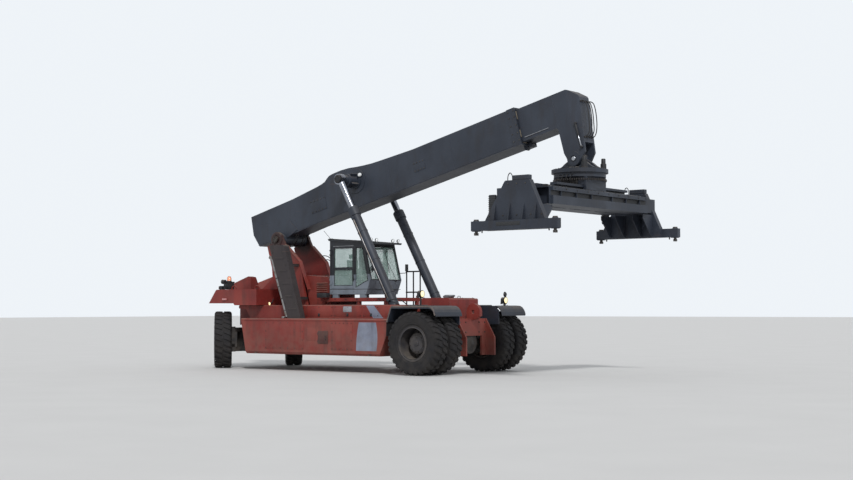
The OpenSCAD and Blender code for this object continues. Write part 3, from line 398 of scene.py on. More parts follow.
def seat_cloth():
    s = Surface("seat_cloth", sheen_weight=0.4)
    weave = (s.x * 900).wave() * (s.y * 900).wave() * 0.5 + 0.5
    ribs = (s.y * 130).wave().over(0.2, 0.4)
    colour = s.mix(ribs * 0.6, paint_colour(36, 38, 44), paint_colour(62, 64, 72))
    s.feed(base_color=s.mix(weave * 0.3, colour, paint_colour(22, 23, 27)),
           roughness=0.85 + weave * 0.1)
    s.bump(weave + ribs, 0.0015, 0.6)
    return s.material


seat_fabric = seat_cloth()


def studio():
    """Stage: a plain pale floor, a sun through haze and an even sky"""
    bpy.ops.object.select_all(action="DESELECT")
    bpy.ops.mesh.primitive_plane_add(size=400, location=(0, 0, 0))
    floor = bpy.context.object
    floor.name = "floor"
    s = Surface("floor_grey", roughness=0.9)
    s.feed(base_color=s.mix(s.noise(0.6, 4), paint_colour(196, 195, 193),
                            paint_colour(204, 203, 201)))
    floor.data.materials.append(s.material)
    world = bpy.context.scene.world or bpy.data.worlds.new("world")
    bpy.context.scene.world = world
    world.use_nodes = True
    sky = world.node_tree
    background = sky.nodes["Background"]
    rays = sky.nodes.new("ShaderNodeLightPath")
    shown = None
    for ray in ("Is Camera Ray", "Is Glossy Ray", "Is Transmission Ray"):
        if shown is None:
            shown = rays.outputs[ray]
            continue
        either = sky.nodes.new("ShaderNodeMath")
        either.operation = "MAXIMUM"
        sky.links.new(shown, either.inputs[0])
        sky.links.new(rays.outputs[ray], either.inputs[1])
        shown = either.outputs[0]
    pale = sky.nodes.new("ShaderNodeMix")
    pale.data_type = "RGBA"
    pale.inputs[6].default_value = (0.62, 0.64, 0.67, 1)
    pale.inputs[7].default_value = (0.86, 0.90, 0.94, 1)
    sky.links.new(shown, pale.inputs[0])
    sky.links.new(pale.outputs[2], background.inputs["Color"])
    background.inputs["Strength"].default_value = 1.0
    sun = bpy.data.lights.new("sun", "SUN")
    sun.energy = 1.9
    sun.angle = math.radians(6)
    sun_place = bpy.data.objects.new("sun", sun)
    sun_place.rotation_euler = (math.radians(48), math.radians(8), math.radians(38))
    bpy.context.scene.collection.objects.link(sun_place)


studio()


# Modelling tools

def pick_only(*pieces):
    if bpy.context.object and bpy.context.object.mode != "OBJECT":
        bpy.ops.object.mode_set(mode="OBJECT")
    bpy.ops.object.select_all(action="DESELECT")
    for piece in pieces:
        piece.select_set(True)
        bpy.context.view_layer.objects.active = piece


def settle(piece):
    """Puts a piece's place, turn and scale into its mesh"""
    pick_only(piece)
    bpy.ops.object.transform_apply(location=True, rotation=True, scale=True)
    return piece


def select_faces(piece, test):
    """Goes into edit mode with the faces selected that pass a test of middle and normal"""
    pick_only(piece)
    bpy.ops.object.mode_set(mode="EDIT")
    bpy.ops.mesh.select_all(action="DESELECT")
    bpy.ops.mesh.select_mode(type="FACE")
    mesh = bmesh.from_edit_mesh(piece.data)
    for face in mesh.faces:
        face.select_set(test(face.calc_center_median(), face.normal))
    bmesh.update_edit_mesh(piece.data)


def leave_edit():
    bpy.ops.object.mode_set(mode="OBJECT")


def block(low, high, edge=0.004, segments=2):
    """A box from its lowest to its highest corner, with rounded edges"""
    low, high = Vector(low), Vector(high)
    pick_only()
    bpy.ops.mesh.primitive_cube_add(size=1, location=(low + high) / 2)
    piece = bpy.context.object
    piece.scale = high - low
    settle(piece)
    bpy.ops.object.mode_set(mode="EDIT")
    bpy.ops.mesh.select_all(action="SELECT")
    bpy.ops.mesh.bevel(offset=min(edge, min(high - low) * 0.45), segments=segments,
                       affect="EDGES")
    leave_edit()
    return piece


def box(x, y, z, edge=0.004, segments=2, place=at):
    """A block between two values each of x, y and z, given in either order"""
    low, high = (place(pick(x), pick(y), pick(z)) for pick in (min, max))
    return block(low, high, edge, segments)


def rod(start, end, radius, edge=0.003, sides=24):
    """A round bar between two points, its end rims bevelled"""
    start, end = Vector(start), Vector(end)
    pick_only()
    length = (end - start).length
    bpy.ops.mesh.primitive_cone_add(vertices=sides, radius1=radius, radius2=radius,
                                    depth=length)
    piece = bpy.context.object
    select_faces(piece, lambda middle, normal: abs(normal.z) > 0.9)
    bpy.ops.mesh.inset(thickness=min(edge, radius * 0.3), use_relative_offset=False)
    bpy.ops.mesh.select_more()
    bpy.ops.mesh.region_to_loop()
    bpy.ops.mesh.bevel(offset=min(edge, length * 0.3), segments=2, affect="EDGES")
    leave_edit()
    turn = (end - start).to_track_quat("Z", "Y").to_matrix().to_4x4()
    piece.matrix_world = Matrix.Translation((start + end) / 2) @ turn
    return settle(piece)


def spun(profile, axis, centre, steps=64):
    """A closed ring from an outline of [radius, along] points, spun about an axis"""
    axis = Vector(axis).normalized()
    side = axis.orthogonal().normalized()
    pick_only()
    bpy.ops.mesh.primitive_circle_add(vertices=len(profile), radius=0.1)
    piece = bpy.context.object
    for vertex, (radius, along) in zip(piece.data.vertices, profile):
        vertex.co = Vector(centre) + side * radius + axis * along
    piece.matrix_world = Matrix.Identity(4)
    bpy.ops.object.mode_set(mode="EDIT")
    bpy.ops.mesh.select_all(action="SELECT")
    bpy.ops.mesh.spin(steps=steps, angle=math.tau, center=centre, axis=axis)
    bpy.ops.mesh.select_all(action="SELECT")
    bpy.ops.mesh.remove_doubles(threshold=0.00005)
    bpy.ops.mesh.normals_make_consistent(inside=False)
    leave_edit()
    return piece


def slab(outline, thickness_vector, edge=0.003):
    """A plate: a flat outline of points, extruded along a vector, its rims bevelled"""
    pick_only()
    bpy.ops.mesh.primitive_circle_add(vertices=len(outline), radius=0.1, fill_type="NGON")
    piece = bpy.context.object
    for vertex, point in zip(piece.data.vertices, outline):
        vertex.co = Vector(point)
    piece.matrix_world = Matrix.Identity(4)
    bpy.ops.object.mode_set(mode="EDIT")
    bpy.ops.mesh.select_all(action="SELECT")
    bpy.ops.mesh.extrude_region_move(
        TRANSFORM_OT_translate={"value": Vector(thickness_vector)})
    bpy.ops.mesh.select_all(action="SELECT")
    bpy.ops.mesh.normals_make_consistent(inside=False)
    if edge:
        bpy.ops.mesh.bevel(offset=edge, segments=1, affect="EDGES")
    leave_edit()
    return piece


def smooth_line(points, per_span=5):
    """More points on a smooth curve through the given ones"""
    points = [Vector(p) for p in points]
    ends = [2 * points[0] - points[1]] + points + [2 * points[-1] - points[-2]]
    line = []
    for i in range(1, len(ends) - 2):
        a, b, c, d = ends[i - 1:i + 3]
        for step in range(per_span):
            t = step / per_span
            line.append(0.5 * (2 * b + (c - a) * t + (2 * a - 5 * b + 4 * c - d) * t * t
                               + (3 * b - a - 3 * c + d) * t ** 3))
    return line + [points[-1]]


def tube(name, line, radius):
    """A round tube along a line of points, as a curve"""
    curve = bpy.data.curves.new(name, "CURVE")
    curve.dimensions = "3D"
    curve.bevel_depth = radius
    curve.bevel_resolution = 3
    curve.use_fill_caps = True
    spline = curve.splines.new("POLY")
    spline.points.add(len(line) - 1)
    for point, place in zip(spline.points, line):
        point.co = (*place, 1)
    piece = bpy.data.objects.new(name, curve)
    bpy.context.scene.collection.objects.link(piece)
    return piece


def pipe(points, radius, per_span=5):
    """A bent pipe or bar through some points, as a mesh"""
    piece = tube("pipe", smooth_line(points, per_span), radius)
    pick_only(piece)
    bpy.ops.object.convert(target="MESH")
    return bpy.context.object


def joined(pieces):
    pieces = list(pieces)
    pick_only(*pieces)
    if len(pieces) > 1:
        bpy.ops.object.join()
    return bpy.context.object


def copy_of(piece):
    """A copy with its own mesh"""
    copy = piece.copy()
    copy.data = piece.data.copy()
    bpy.context.scene.collection.objects.link(copy)
    return copy


def copied(piece, places):
    """Copies of one piece, moved by the given matrices and joined in its place"""
    copies = []
    for place in places:
        copy = copy_of(piece)
        copy.matrix_world = place
        copies.append(settle(copy))
    bpy.data.objects.remove(piece)
    return joined(copies)


def moved(piece, matrix):
    piece.matrix_world = matrix @ piece.matrix_world
    return settle(piece)


def done(piece, name, body, material, smooth=35):
    """Names a finished piece, gives it its finish and lets it move with its body"""
    settle(piece)
    piece.name = name
    piece.data.name = name
    piece.data.materials.clear()
    piece.data.materials.append(material)
    for face in piece.data.polygons:
        face.material_index = 0
    if smooth:
        bpy.ops.object.shade_smooth_by_angle(angle=math.radians(smooth))
    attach(piece, body)
    return piece


IN_BOOM = Matrix.Translation(PIVOT) @ Matrix.Rotation(-BOOM_ANGLE, 4, "Y")


def along_boom(u, y, v):
    """A place on the boom, u along it from its pivot and v square to it"""
    return IN_BOOM @ Vector((u, y, v))


def along_lift(side, u, y, v):
    """A place on a lift cylinder, u up from its foot; y is away from the machine's middle"""
    place = (Matrix.Translation((LIFT_FOOT[0], 0, LIFT_FOOT[1]))
             @ Matrix.Rotation(-LIFT_ANGLE, 4, "Y") @ Vector((u, 0, v)))
    return Vector((place.x, side * (1.0 + y), place.z))


def from_pin(x, y, z):
    """A place on the spreader, measured from the middle of the pin that it tilts about"""
    return Vector((TILT.x + x, y, TILT.z + z))


def bolt(size=0.012, height=0.012):
    """A hexagon bolt head on a washer, standing on the XY plane"""
    pick_only()
    bpy.ops.mesh.primitive_cylinder_add(vertices=6, radius=size, depth=height,
                                        location=(0, 0, height / 2 + size * 0.15))
    head = settle(bpy.context.object)
    select_faces(head, lambda middle, normal: normal.z > 0.9)
    bpy.ops.mesh.bevel(offset=size * 0.15, segments=1, affect="EDGES")
    leave_edit()
    bpy.ops.mesh.primitive_cylinder_add(vertices=14, radius=size * 1.35, depth=size * 0.3,
                                        location=(0, 0, size * 0.15))
    return joined([head, settle(bpy.context.object)])


def facing(place, direction):
    """The matrix that stands a piece made on the XY plane on a face"""
    turn = Vector(direction).to_track_quat("Z", "Y").to_matrix().to_4x4()
    return Matrix.Translation(Vector(place)) @ turn


def bolts(places, direction, size=0.012):
    return copied(bolt(size, size), [facing(p, direction) for p in places])


def ring_of(centre, axis, radius, count, start=0.0):
    """Places on a circle about an axis"""
    axis = Vector(axis).normalized()
    side = axis.orthogonal().normalized()
    other = axis.cross(side)
    return [Vector(centre) + radius * (math.cos(a) * side + math.sin(a) * other)
            for a in (start + math.tau * i / count for i in range(count))]


# Wheels

def tyre():
    """One tyre about the origin, its axle along Y: a carcass with side ribs, and lugs"""
    half = [(0.190, 0.449), (0.214, 0.462), (0.234, 0.505), (0.240, 0.512), (0.244, 0.56),
            (0.250, 0.566), (0.250, 0.574), (0.246, 0.58), (0.250, 0.64), (0.249, 0.69),
            (0.243, 0.725), (0.240, 0.735), (0.232, 0.762), (0.212, 0.786), (0.14, 0.796)]
    profile = [(r, y) for y, r in half] + [(r, -y) for y, r in reversed(half)]
    carcass = spun(profile, (0, 1, 0), (0, 0, 0), steps=96)
    # One lug runs from near the middle of the tread over its shoulder
    side = [(0.018, 0.792), (0.022, 0.8265), (0.12, 0.8275), (0.19, 0.826), (0.226, 0.812),
            (0.2495, 0.765), (0.2495, 0.738), (0.238, 0.736), (0.20, 0.78)]
    pick_only()
    bpy.ops.mesh.primitive_circle_add(vertices=len(side), radius=0.1, fill_type="NGON")
    lug = bpy.context.object
    for vertex, (y, r) in zip(lug.data.vertices, side):
        vertex.co = (-0.048 - y * 0.05, y, r)
    bpy.ops.object.mode_set(mode="EDIT")
    bpy.ops.mesh.select_all(action="SELECT")
    bpy.ops.mesh.extrude_region_move(TRANSFORM_OT_translate={"value": (0.098, 0, 0)})
    bpy.ops.mesh.select_all(action="SELECT")
    bpy.ops.mesh.normals_make_consistent(inside=False)
    leave_edit()
    for vertex in lug.data.vertices:
        # The lug slants, widens outwards and narrows to its top
        x, y, z = vertex.co
        turn = (x * (1 + (y - 0.1) * 0.9 - (z - 0.79) * 4.0) + (y - 0.02) * 0.42) / TYRE_R
        vertex.co = (z * math.sin(turn), y, z * math.cos(turn) - 0.0008)
    pick_only(lug)
    bpy.ops.object.mode_set(mode="EDIT")
    bpy.ops.mesh.select_all(action="SELECT")
    bpy.ops.mesh.bevel(offset=0.005, segments=1, affect="EDGES")
    leave_edit()
    count = 30
    turns = [Matrix.Rotation(math.tau * i / count, 4, "Y") for i in range(count)]
    half_turn = Matrix.Rotation(math.pi, 4, "Z") @ Matrix.Rotation(math.pi / count, 4, "Y")
    return joined([carcass, copied(lug, turns + [t @ half_turn for t in turns])])


RIM_BORE = 0.4147


def rim_fittings(face, hub_face, hub_r, nut_circle, outer_edge):
    """Lock ring, wheel nuts, hub cover and valve of a rim about the origin. The wheel's
    outside is towards -Y, and places are distances that way."""
    outwards = (0, -1, 0)
    rim_edge = (0, -outer_edge, 0)
    lock_ring = spun([(0.449, 0), (0.452, 0.012), (0.462, 0.016), (0.466, 0.004),
                      (0.458, -0.012)], outwards, rim_edge, steps=80)
    bead = spun([(RIM_BORE, 0.002), (RIM_BORE - 0.012, 0.010), (RIM_BORE - 0.014, -0.006),
                 (RIM_BORE, -0.02)], outwards, rim_edge, steps=80)
    nut_places = ring_of((0, -face, 0), outwards, nut_circle, 20)
    nuts = bolts(nut_places, outwards, 0.019)
    studs = joined([rod(p, p + Vector((0, -0.045, 0)), 0.009, 0.002, 10) for p in nut_places])
    cover = spun([(0.0005, 0.034), (0.055, 0.034), (0.062, 0.028), (0.064, 0.012),
                  (hub_r - 0.05, 0.010), (hub_r - 0.045, 0.0), (0.0005, 0.0)],
                 outwards, (0, -hub_face, 0), steps=64)
    cover_bolts = bolts(ring_of((0, -hub_face, 0), outwards, hub_r - 0.028, 12), outwards, 0.012)
    plug = bolts([Vector((0, -hub_face - 0.034, 0.0)),
                  Vector((0, -hub_face - 0.010, hub_r * 0.55))], outwards, 0.016)
    valve = rod((RIM_BORE - 0.03, -face, 0), (RIM_BORE - 0.05, -outer_edge + 0.02, 0),
                0.006, 0.002, 10)
    return [lock_ring, bead, cover], [nuts, studs, cover_bolts, plug, valve]


def rim(name, body, place, sign, sizes):
    """The fittings of one rim, turned so that its outside is away from the machine"""
    if sign > 0:
        place = place @ Matrix.Rotation(math.pi, 4, "Z")
    painted, steel = rim_fittings(**sizes)
    done(moved(joined(painted), place), f"rim_rings_{name}", body, rim_paint)
    done(moved(joined(steel), place), f"wheel_nuts_{name}", body, bolt_steel)


# The middle between the twin front wheels, and each one's distance from it
TWINS_Y, TWIN_OFFSET = 1.515, 0.315
# Angles in degrees: the steered rear wheels, and the outer twins about their axle
STEERED, OUTER_TWIN_TURN = -45, 3.7
FRONT_RIM = {"face": 0.06, "hub_face": 0.35, "hub_r": 0.25, "nut_circle": 0.335,
             "outer_edge": 0.525}
REAR_RIM = {"face": 0.06, "hub_face": 0.16, "hub_r": 0.17, "nut_circle": 0.32,
            "outer_edge": 0.21}


def wheels():
    one_tyre = tyre()
    for side, sign in SIDES:
        body = f"front_wheels_{side}"
        for name, y, turn in (("outer", TWINS_Y + TWIN_OFFSET, OUTER_TWIN_TURN),
                              ("inner", TWINS_Y - TWIN_OFFSET, 0)):
            place = (Matrix.Translation(at(0, sign * y, TYRE_R))
                     @ Matrix.Rotation(math.radians(turn), 4, "Y"))
            piece = done(moved(copy_of(one_tyre), place), f"tyre_front_{side}_{name}", body,
                         rubber)
            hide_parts(f"front_tyres_{side}")
        rim(f"front_{side}", body, Matrix.Translation(at(0, sign * TWINS_Y, TYRE_R)), sign,
            FRONT_RIM)
    for side, sign in SIDES:
        body = f"rear_wheel_{side}"
        low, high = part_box(f"rear_tyre_{side}")
        centre = (Vector(low) + Vector(high)) / 2
        centre.z = TYRE_R
        place = Matrix.Translation(centre) @ Matrix.Rotation(math.radians(STEERED), 4, "Z")
        piece = done(moved(copy_of(one_tyre), place), f"tyre_rear_{side}", body,
                     rubber)
        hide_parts(f"rear_tyre_{side}")
        rim(f"rear_{side}", body, place, sign, REAR_RIM)
    bpy.data.objects.remove(one_tyre)


rim_paint = worn_paint("rim_paint", paint_colour(36, 36, 41), paint_colour(56, 56, 62),
                       gloss=0.5, dust=0.55, chips=0.4)
wheels()


# Lamps

def lamp(place, direction, radius, depth=0.07):
    """A round work lamp: a housing with raised rings, and its lens"""
    direction = Vector(direction).normalized()
    back = Vector(place) - direction * depth
    housing = [spun([(0.0005, 0), (radius * 0.5, 0.002), (radius * 0.8, depth * 0.3),
                     (radius * 0.86, depth * 0.42), (radius * 0.84, depth * 0.46),
                     (radius * 0.93, depth * 0.58), (radius * 0.92, depth * 0.63),
                     (radius, depth * 0.78), (radius, depth * 1.04), (radius * 0.93, depth * 1.06),
                     (radius * 0.9, depth * 0.94), (0.0005, depth * 0.92)],
                    direction, back, steps=40)]
    lens = spun([(0.0005, 0.012), (radius * 0.5, 0.009), (radius * 0.8, 0.003),
                 (radius * 0.9, -0.002), (radius * 0.9, -0.01), (0.0005, -0.01)],
                direction, place, steps=40)
    return housing, lens


def box_lamp(place, width, height):
    """A square lamp with a rim, facing the machine's rear"""
    x, y, z = place
    housing = block((x - 0.035, y - width / 2, z - height / 2),
                    (x + 0.02, y + width / 2, z + height / 2), 0.01)
    select_faces(housing, lambda middle, normal: normal.x < -0.9)
    bpy.ops.mesh.inset(thickness=0.008, use_relative_offset=False)
    bpy.ops.mesh.extrude_region_move(TRANSFORM_OT_translate={"value": (0.008, 0, 0)})
    leave_edit()
    front = x - 0.035
    lens = block((front - 0.011, y - width / 2 + 0.012, z - height / 2 + 0.012),
                 (front + 0.001, y + width / 2 - 0.012, z + height / 2 - 0.012), 0.004)
    return housing, lens


def front_lamps():
    """Work lamps on the front fenders"""
    for side, (x, y, z) in (("right", (0, -1.70, 2.108)), ("left", (0.24, 1.75, 1.95))):
        housing, lens = lamp(at(x + 0.062, y, z), (1, 0, 0), 0.088, 0.05)
        bezel = spun([(0.086, -0.012), (0.094, -0.012), (0.095, 0.006), (0.088, 0.01)],
                     (1, 0, 0), at(x + 0.05, y, z), steps=40)
        yoke = [slab([at(x + dx, y + s * 0.092, z + dz) for dx, dz in (
                          (-0.06, -0.1), (0.02, -0.1), (0.015, 0.02), (-0.045, 0.02))],
                     (0, s * 0.006, 0), 0.001) for s in (-1, 1)]
        foot = box((x - 0.06, x + 0.02), (y - 0.096, y + 0.096), (z - 0.106, z - 0.098), 0.002)
        knobs = [bolts([at(x - 0.015, y + s * 0.099, z)], (0, s, 0), 0.011) for s in (-1, 1)]
        base = box((x - 0.06, x + 0.06), (y - 0.06, y + 0.06), (1.8003, 1.812), 0.002)
        done(joined(housing + [bezel, foot, base] + yoke), f"front_lamp_body_{side}", "chassis",
             black_plastic)
        done(joined(knobs), f"front_lamp_bolts_{side}", "chassis", bolt_steel)
        done(lens, f"front_lamp_lens_{side}", "chassis", lamp_warm)


def fender_mirror():
    """Round mirror over the left front lamp"""
    rearwards, place = (-1, 0, 0), at(0.19, 1.89, 2.115)
    stem = pipe([at(0.24, 1.80, 1.802), at(0.235, 1.86, 1.95), at(0.21, 1.885, 2.06)], 0.011)
    shell = spun([(0.0005, -0.02), (0.05, -0.012), (0.074, 0.012), (0.078, 0.02), (0.0005, 0.02)],
                 rearwards, place, steps=32)
    done(joined([stem, shell]), "fender_mirror", "chassis", black_plastic)
    face = spun([(0.0005, 0.032), (0.04, 0.028), (0.07, 0.018), (0.07, 0.016), (0.0005, 0.016)],
                rearwards, place, steps=32)
    done(face, "fender_mirror_face", "chassis", bright_steel)


def rear_lamps():
    """On the counterweight: a round lamp over a square one, at each side"""
    for side, sign in SIDES:
        y = sign * 1.42
        housing, lens = lamp(at(-7.612, y, 2.52), (-1, 0, 0), 0.066, 0.05)
        bracket = pipe([at(-7.52, y, 2.30), at(-7.50, y, 2.40), at(-7.54, y, 2.50)], 0.014)
        tail, tail_lens = box_lamp(at(-7.69, y, 2.345), 0.11, 0.085)
        done(joined(housing + [bracket, tail]), f"rear_lamp_body_{side}", "chassis",
             black_plastic)
        done(lens, f"rear_lamp_lens_{side}", "chassis", lamp_warm)
        done(tail_lens, f"tail_lamp_lens_{side}", "chassis", lamp_amber)


def stop_lamps():
    """Lamps set in the sloping rear edge, two red and one clear on each side"""
    slope = Vector((-0.757, 0, 0.653))
    for side, sign in SIDES:
        rims, lenses = [], []
        for y in (1.02, 1.16, 1.30):
            place = at(-7.945, sign * y, 2.072) + slope * 0.016
            housing, lens = lamp(place, slope, 0.058, 0.03)
            rims += housing
            lenses.append(lens)
        done(joined(rims), f"stop_lamp_rims_{side}", "chassis", black_plastic)
        done(joined(lenses[:2]), f"stop_lamps_{side}", "chassis", lamp_red)
        done(lenses[2], f"reversing_lamp_{side}", "chassis", lamp_clear)


def ledge_lamp():
    """Lamp under the side of the counterweight, on a bent arm"""
    housing, lens = lamp(at(-6.0, -1.13, 1.87), (0.2, -1, -0.1), 0.055, 0.05)
    arm = pipe([at(-6.0, -1.06, 1.87), at(-5.96, -1.02, 1.95), at(-5.96, -1.0, 2.02)], 0.012)
    done(joined(housing + [arm]), "ledge_lamp_body", "chassis", black_plastic)
    done(lens, "ledge_lamp_lens", "chassis", lamp_warm)


def beacon_fittings():
    """The beacon's dome, and its pod with a foot, a lid and guard wires"""
    x, y = -7.56, -1.2
    dome = spun([(0.0005, 0.128), (0.03, 0.126), (0.05, 0.112), (0.058, 0.09), (0.062, 0.02),
                 (0.066, 0.0), (0.0005, 0.0)], (0, 0, 1), at(x, y, 2.554), steps=40)
    done(dome, "beacon_dome", "chassis", lamp_amber)
    foot = spun([(0.0005, 0.03), (0.07, 0.03), (0.078, 0.02), (0.078, 0.0), (0.0005, 0.0)],
                (0, 0, 1), at(x, y, 2.524), steps=40)
    pod = block(at(-7.665, -1.305, 2.30), at(-7.455, -1.095, 2.522), 0.012)
    lid = block(at(-7.675, -1.315, 2.49), at(-7.445, -1.085, 2.526), 0.008)
    wires = [pipe([at(x + dx, y + dy, 2.535), at(x + dx, y + dy, 2.62),
                   at(x + dx * 0.6, y + dy * 0.6, 2.676), at(x, y, 2.686)], 0.004)
             for dx, dy in ((0.082, 0), (-0.082, 0), (0, 0.082), (0, -0.082))]
    beacon_foot = done(joined([foot, pod, lid] + wires), "beacon_base", "chassis",
                       black_plastic)
    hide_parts("beacon")


front_lamps()
fender_mirror()
rear_lamps()
stop_lamps()
ledge_lamp()
beacon_fittings()


# Chassis

def panel(x, z, y, thick=0.005, edge=0.004):
    """A raised cover on an upright side face at y, from ranges of x and z"""
    out = math.copysign(thick, y)
    low, high = sorted((y - out * 0.2, y + out))
    return block(at(x[0], low, z[0]), at(x[1], high, z[1]), edge)


def rim_places(x, z, y, inset, nx, nz):
    """Places of bolts round the rim of a cover"""
    places = []
    for i in range(nx):
        place_x = x[0] + inset + (x[1] - x[0] - 2 * inset) * i / (nx - 1)
        places += [at(place_x, y, z[0] + inset), at(place_x, y, z[1] - inset)]
    for k in range(1, nz - 1):
        place_z = z[0] + inset + (z[1] - z[0] - 2 * inset) * k / (nz - 1)
        places += [at(x[0] + inset, y, place_z), at(x[1] - inset, y, place_z)]
    return places


def handle(start, end, out, radius=0.009):
    """A bent grab handle between two feet, standing off by a vector"""
    start, end, out = Vector(start), Vector(end), Vector(out)
    along = (end - start).normalized() * radius * 2.2
    return pipe([start, start + out * 0.55, start + out + along, (start + end) / 2 + out,
                 end + out - along, end + out * 0.55, end], radius, 4)


# Upright faces of the side tanks, above and below their ledge, and the top of the ledge
UPPER_FACE, LOWER_FACE = 1.35, 1.75
LEDGE_TOP = 1.4605


def tank_panels(side, sign):
    """Bolted covers on both faces, a flush cover over the empty recess, and folded lips
    along the ledge and along the foot"""
    upper, lower = sign * UPPER_FACE, sign * LOWER_FACE
    covers, heads = [], []
    for x in ((-4.36, -3.36), (-3.30, -2.32), (-2.26, -1.22)):
        covers.append(panel(x, (1.505, 1.795), upper))
        heads += rim_places(x, (1.505, 1.795), upper + sign * 0.005, 0.03, 3, 2)
    for x in ((-5.55, -4.08), (-3.06, -2.30)):
        covers.append(panel(x, (0.60, 1.37), lower))
        heads += rim_places(x, (0.60, 1.37), lower + sign * 0.005, 0.035, 6, 4)
    covers.append(box((-6.40, -0.98), (lower, lower + sign * 0.012), (1.395, 1.432), 0.005))
    covers.append(box((-3.962, -3.628), (lower - sign * 0.03, lower + sign * 0.003),
                      (0.848, 1.202), 0.002))
    covers.append(box((-6.25, -1.36), (lower, lower + sign * 0.008), (0.520, 0.545), 0.003))
    done(joined(covers), f"tank_covers_{side}", "chassis", tank_paint)
    done(bolts(heads, (0, sign, 0), 0.010), f"tank_bolts_{side}", "chassis",
         bolt_steel)


def tank_hatch(side, sign):
    """The hatch with its handle and hinges, and the black latches of the upper covers"""
    upper, front = sign * UPPER_FACE, sign * 1.762
    lid = box((-3.54, -3.17), (sign * 1.748, front), (0.77, 1.12), 0.006)
    done(lid, f"tank_hatch_{side}", "chassis", hatch_paint)
    fittings = [handle(at(-3.24, front, 0.89), at(-3.24, front, 0.99), (0, sign * 0.028, 0),
                       0.006)]
    fittings += [rod(at(-3.545, sign * 1.758, z), at(-3.545, sign * 1.758, z + 0.06), 0.008,
                     0.002, 12) for z in (0.81, 1.02)]
    for x in (-3.86, -2.81, -1.975):
        fittings.append(box((x - 0.03, x + 0.03), (upper, upper + sign * 0.02), (1.515, 1.60),
                            0.006))
        fittings.append(rod(at(x, upper + sign * 0.018, 1.555), at(x, upper + sign * 0.034, 1.555),
                            0.016, 0.003))
    done(joined(fittings), f"tank_latches_{side}", "chassis", black_plastic)


def filler_cap(side, sign):
    """A filler neck on the ledge, with grip ribs round its cap"""
    x, y = -5.0, sign * 1.58
    parts = [spun([(0.0005, 0.055), (0.038, 0.055), (0.05, 0.05), (0.054, 0.042), (0.054, 0.022),
                   (0.046, 0.018), (0.046, 0.0), (0.0005, 0.0)], (0, 0, 1), at(x, y, 1.460),
                  steps=36)]
    ribs = 14
    for turn in (i * math.tau / ribs for i in range(ribs)):
        top = at(x, y, 1.512) + Vector((0.052 * math.cos(turn), 0.052 * math.sin(turn), 0))
        parts.append(rod(top - Vector((0, 0, 0.022)), top, 0.004, 0.001, 8))
    done(joined(parts), f"filler_cap_{side}", "chassis", pipe_steel)


def tank_deck(side, sign):
    """Checkered plates to walk on, and lashing eyes under the tank's foot"""
    plates = [box((x, x + 0.98), (sign * 0.72, sign * 1.32), (1.830, 1.836), 0.002)
              for x in (-4.75, -3.73, -2.71)]
    plates += [box(x, (sign * 1.39, sign * 1.71), (LEDGE_TOP, 1.466), 0.002)
               for x in ((-6.3, -5.2), (-4.15, -1.25))]
    done(joined(plates), f"deck_plates_{side}", "chassis", checker_plate)
    eyes = [pipe([at(x + dx, sign * y, z) for dx, y, z in (
                      (-0.05, 1.70, 0.522), (-0.045, 1.752, 0.50), (0, 1.765, 0.478),
                      (0.045, 1.752, 0.50), (0.05, 1.70, 0.522))], 0.011)
            for x in (-5.9, -1.7)]
    done(joined(eyes), f"lashing_eyes_{side}", "chassis", frame_black)


def tanks():
    for side, sign in SIDES:
        tank_panels(side, sign)
        tank_hatch(side, sign)
        filler_cap(side, sign)
        tank_deck(side, sign)
    # Blank plate beside the right cover's latch
    plate = panel((-2.97, -2.665), (1.635, 1.79), -1.355, 0.004, 0.002)
    done(plate, "blank_plate", "chassis", blank_plate)
    rivets = [at(x, -1.359, z) for x in (-2.95, -2.685) for z in (1.65, 1.775)]
    done(bolts(rivets, (0, -1, 0), 0.005), "blank_plate_rivets", "chassis",
         bolt_steel)


def plate_pattern():
    s = Surface("checker_plate", metallic=0.1)
    slant = ((s.x + s.y) * 105).wave() * ((s.x - s.y) * 105).wave()
    bars = slant.over(0.45, 0.2)
    dirt = s.noise(3, 5).over(0.5, 0.18)
    colour = s.mix(s.noise(1.3, 3).over(0.5, 0.2), RED_FADED, RED_FRESH)
    colour = s.mix(bars * 0.55, colour, BARE_STEEL)
    colour = s.mix(dirt * 0.7, colour, GRIME)
    s.feed(base_color=colour, roughness=0.5 + dirt * 0.25 - bars * 0.1)
    s.bump(bars, 0.003, 0.7)
    return s.material


checker_plate = plate_pattern()
hatch_paint = worn_paint("hatch_paint", paint_colour(66, 26, 26), paint_colour(82, 40, 36))


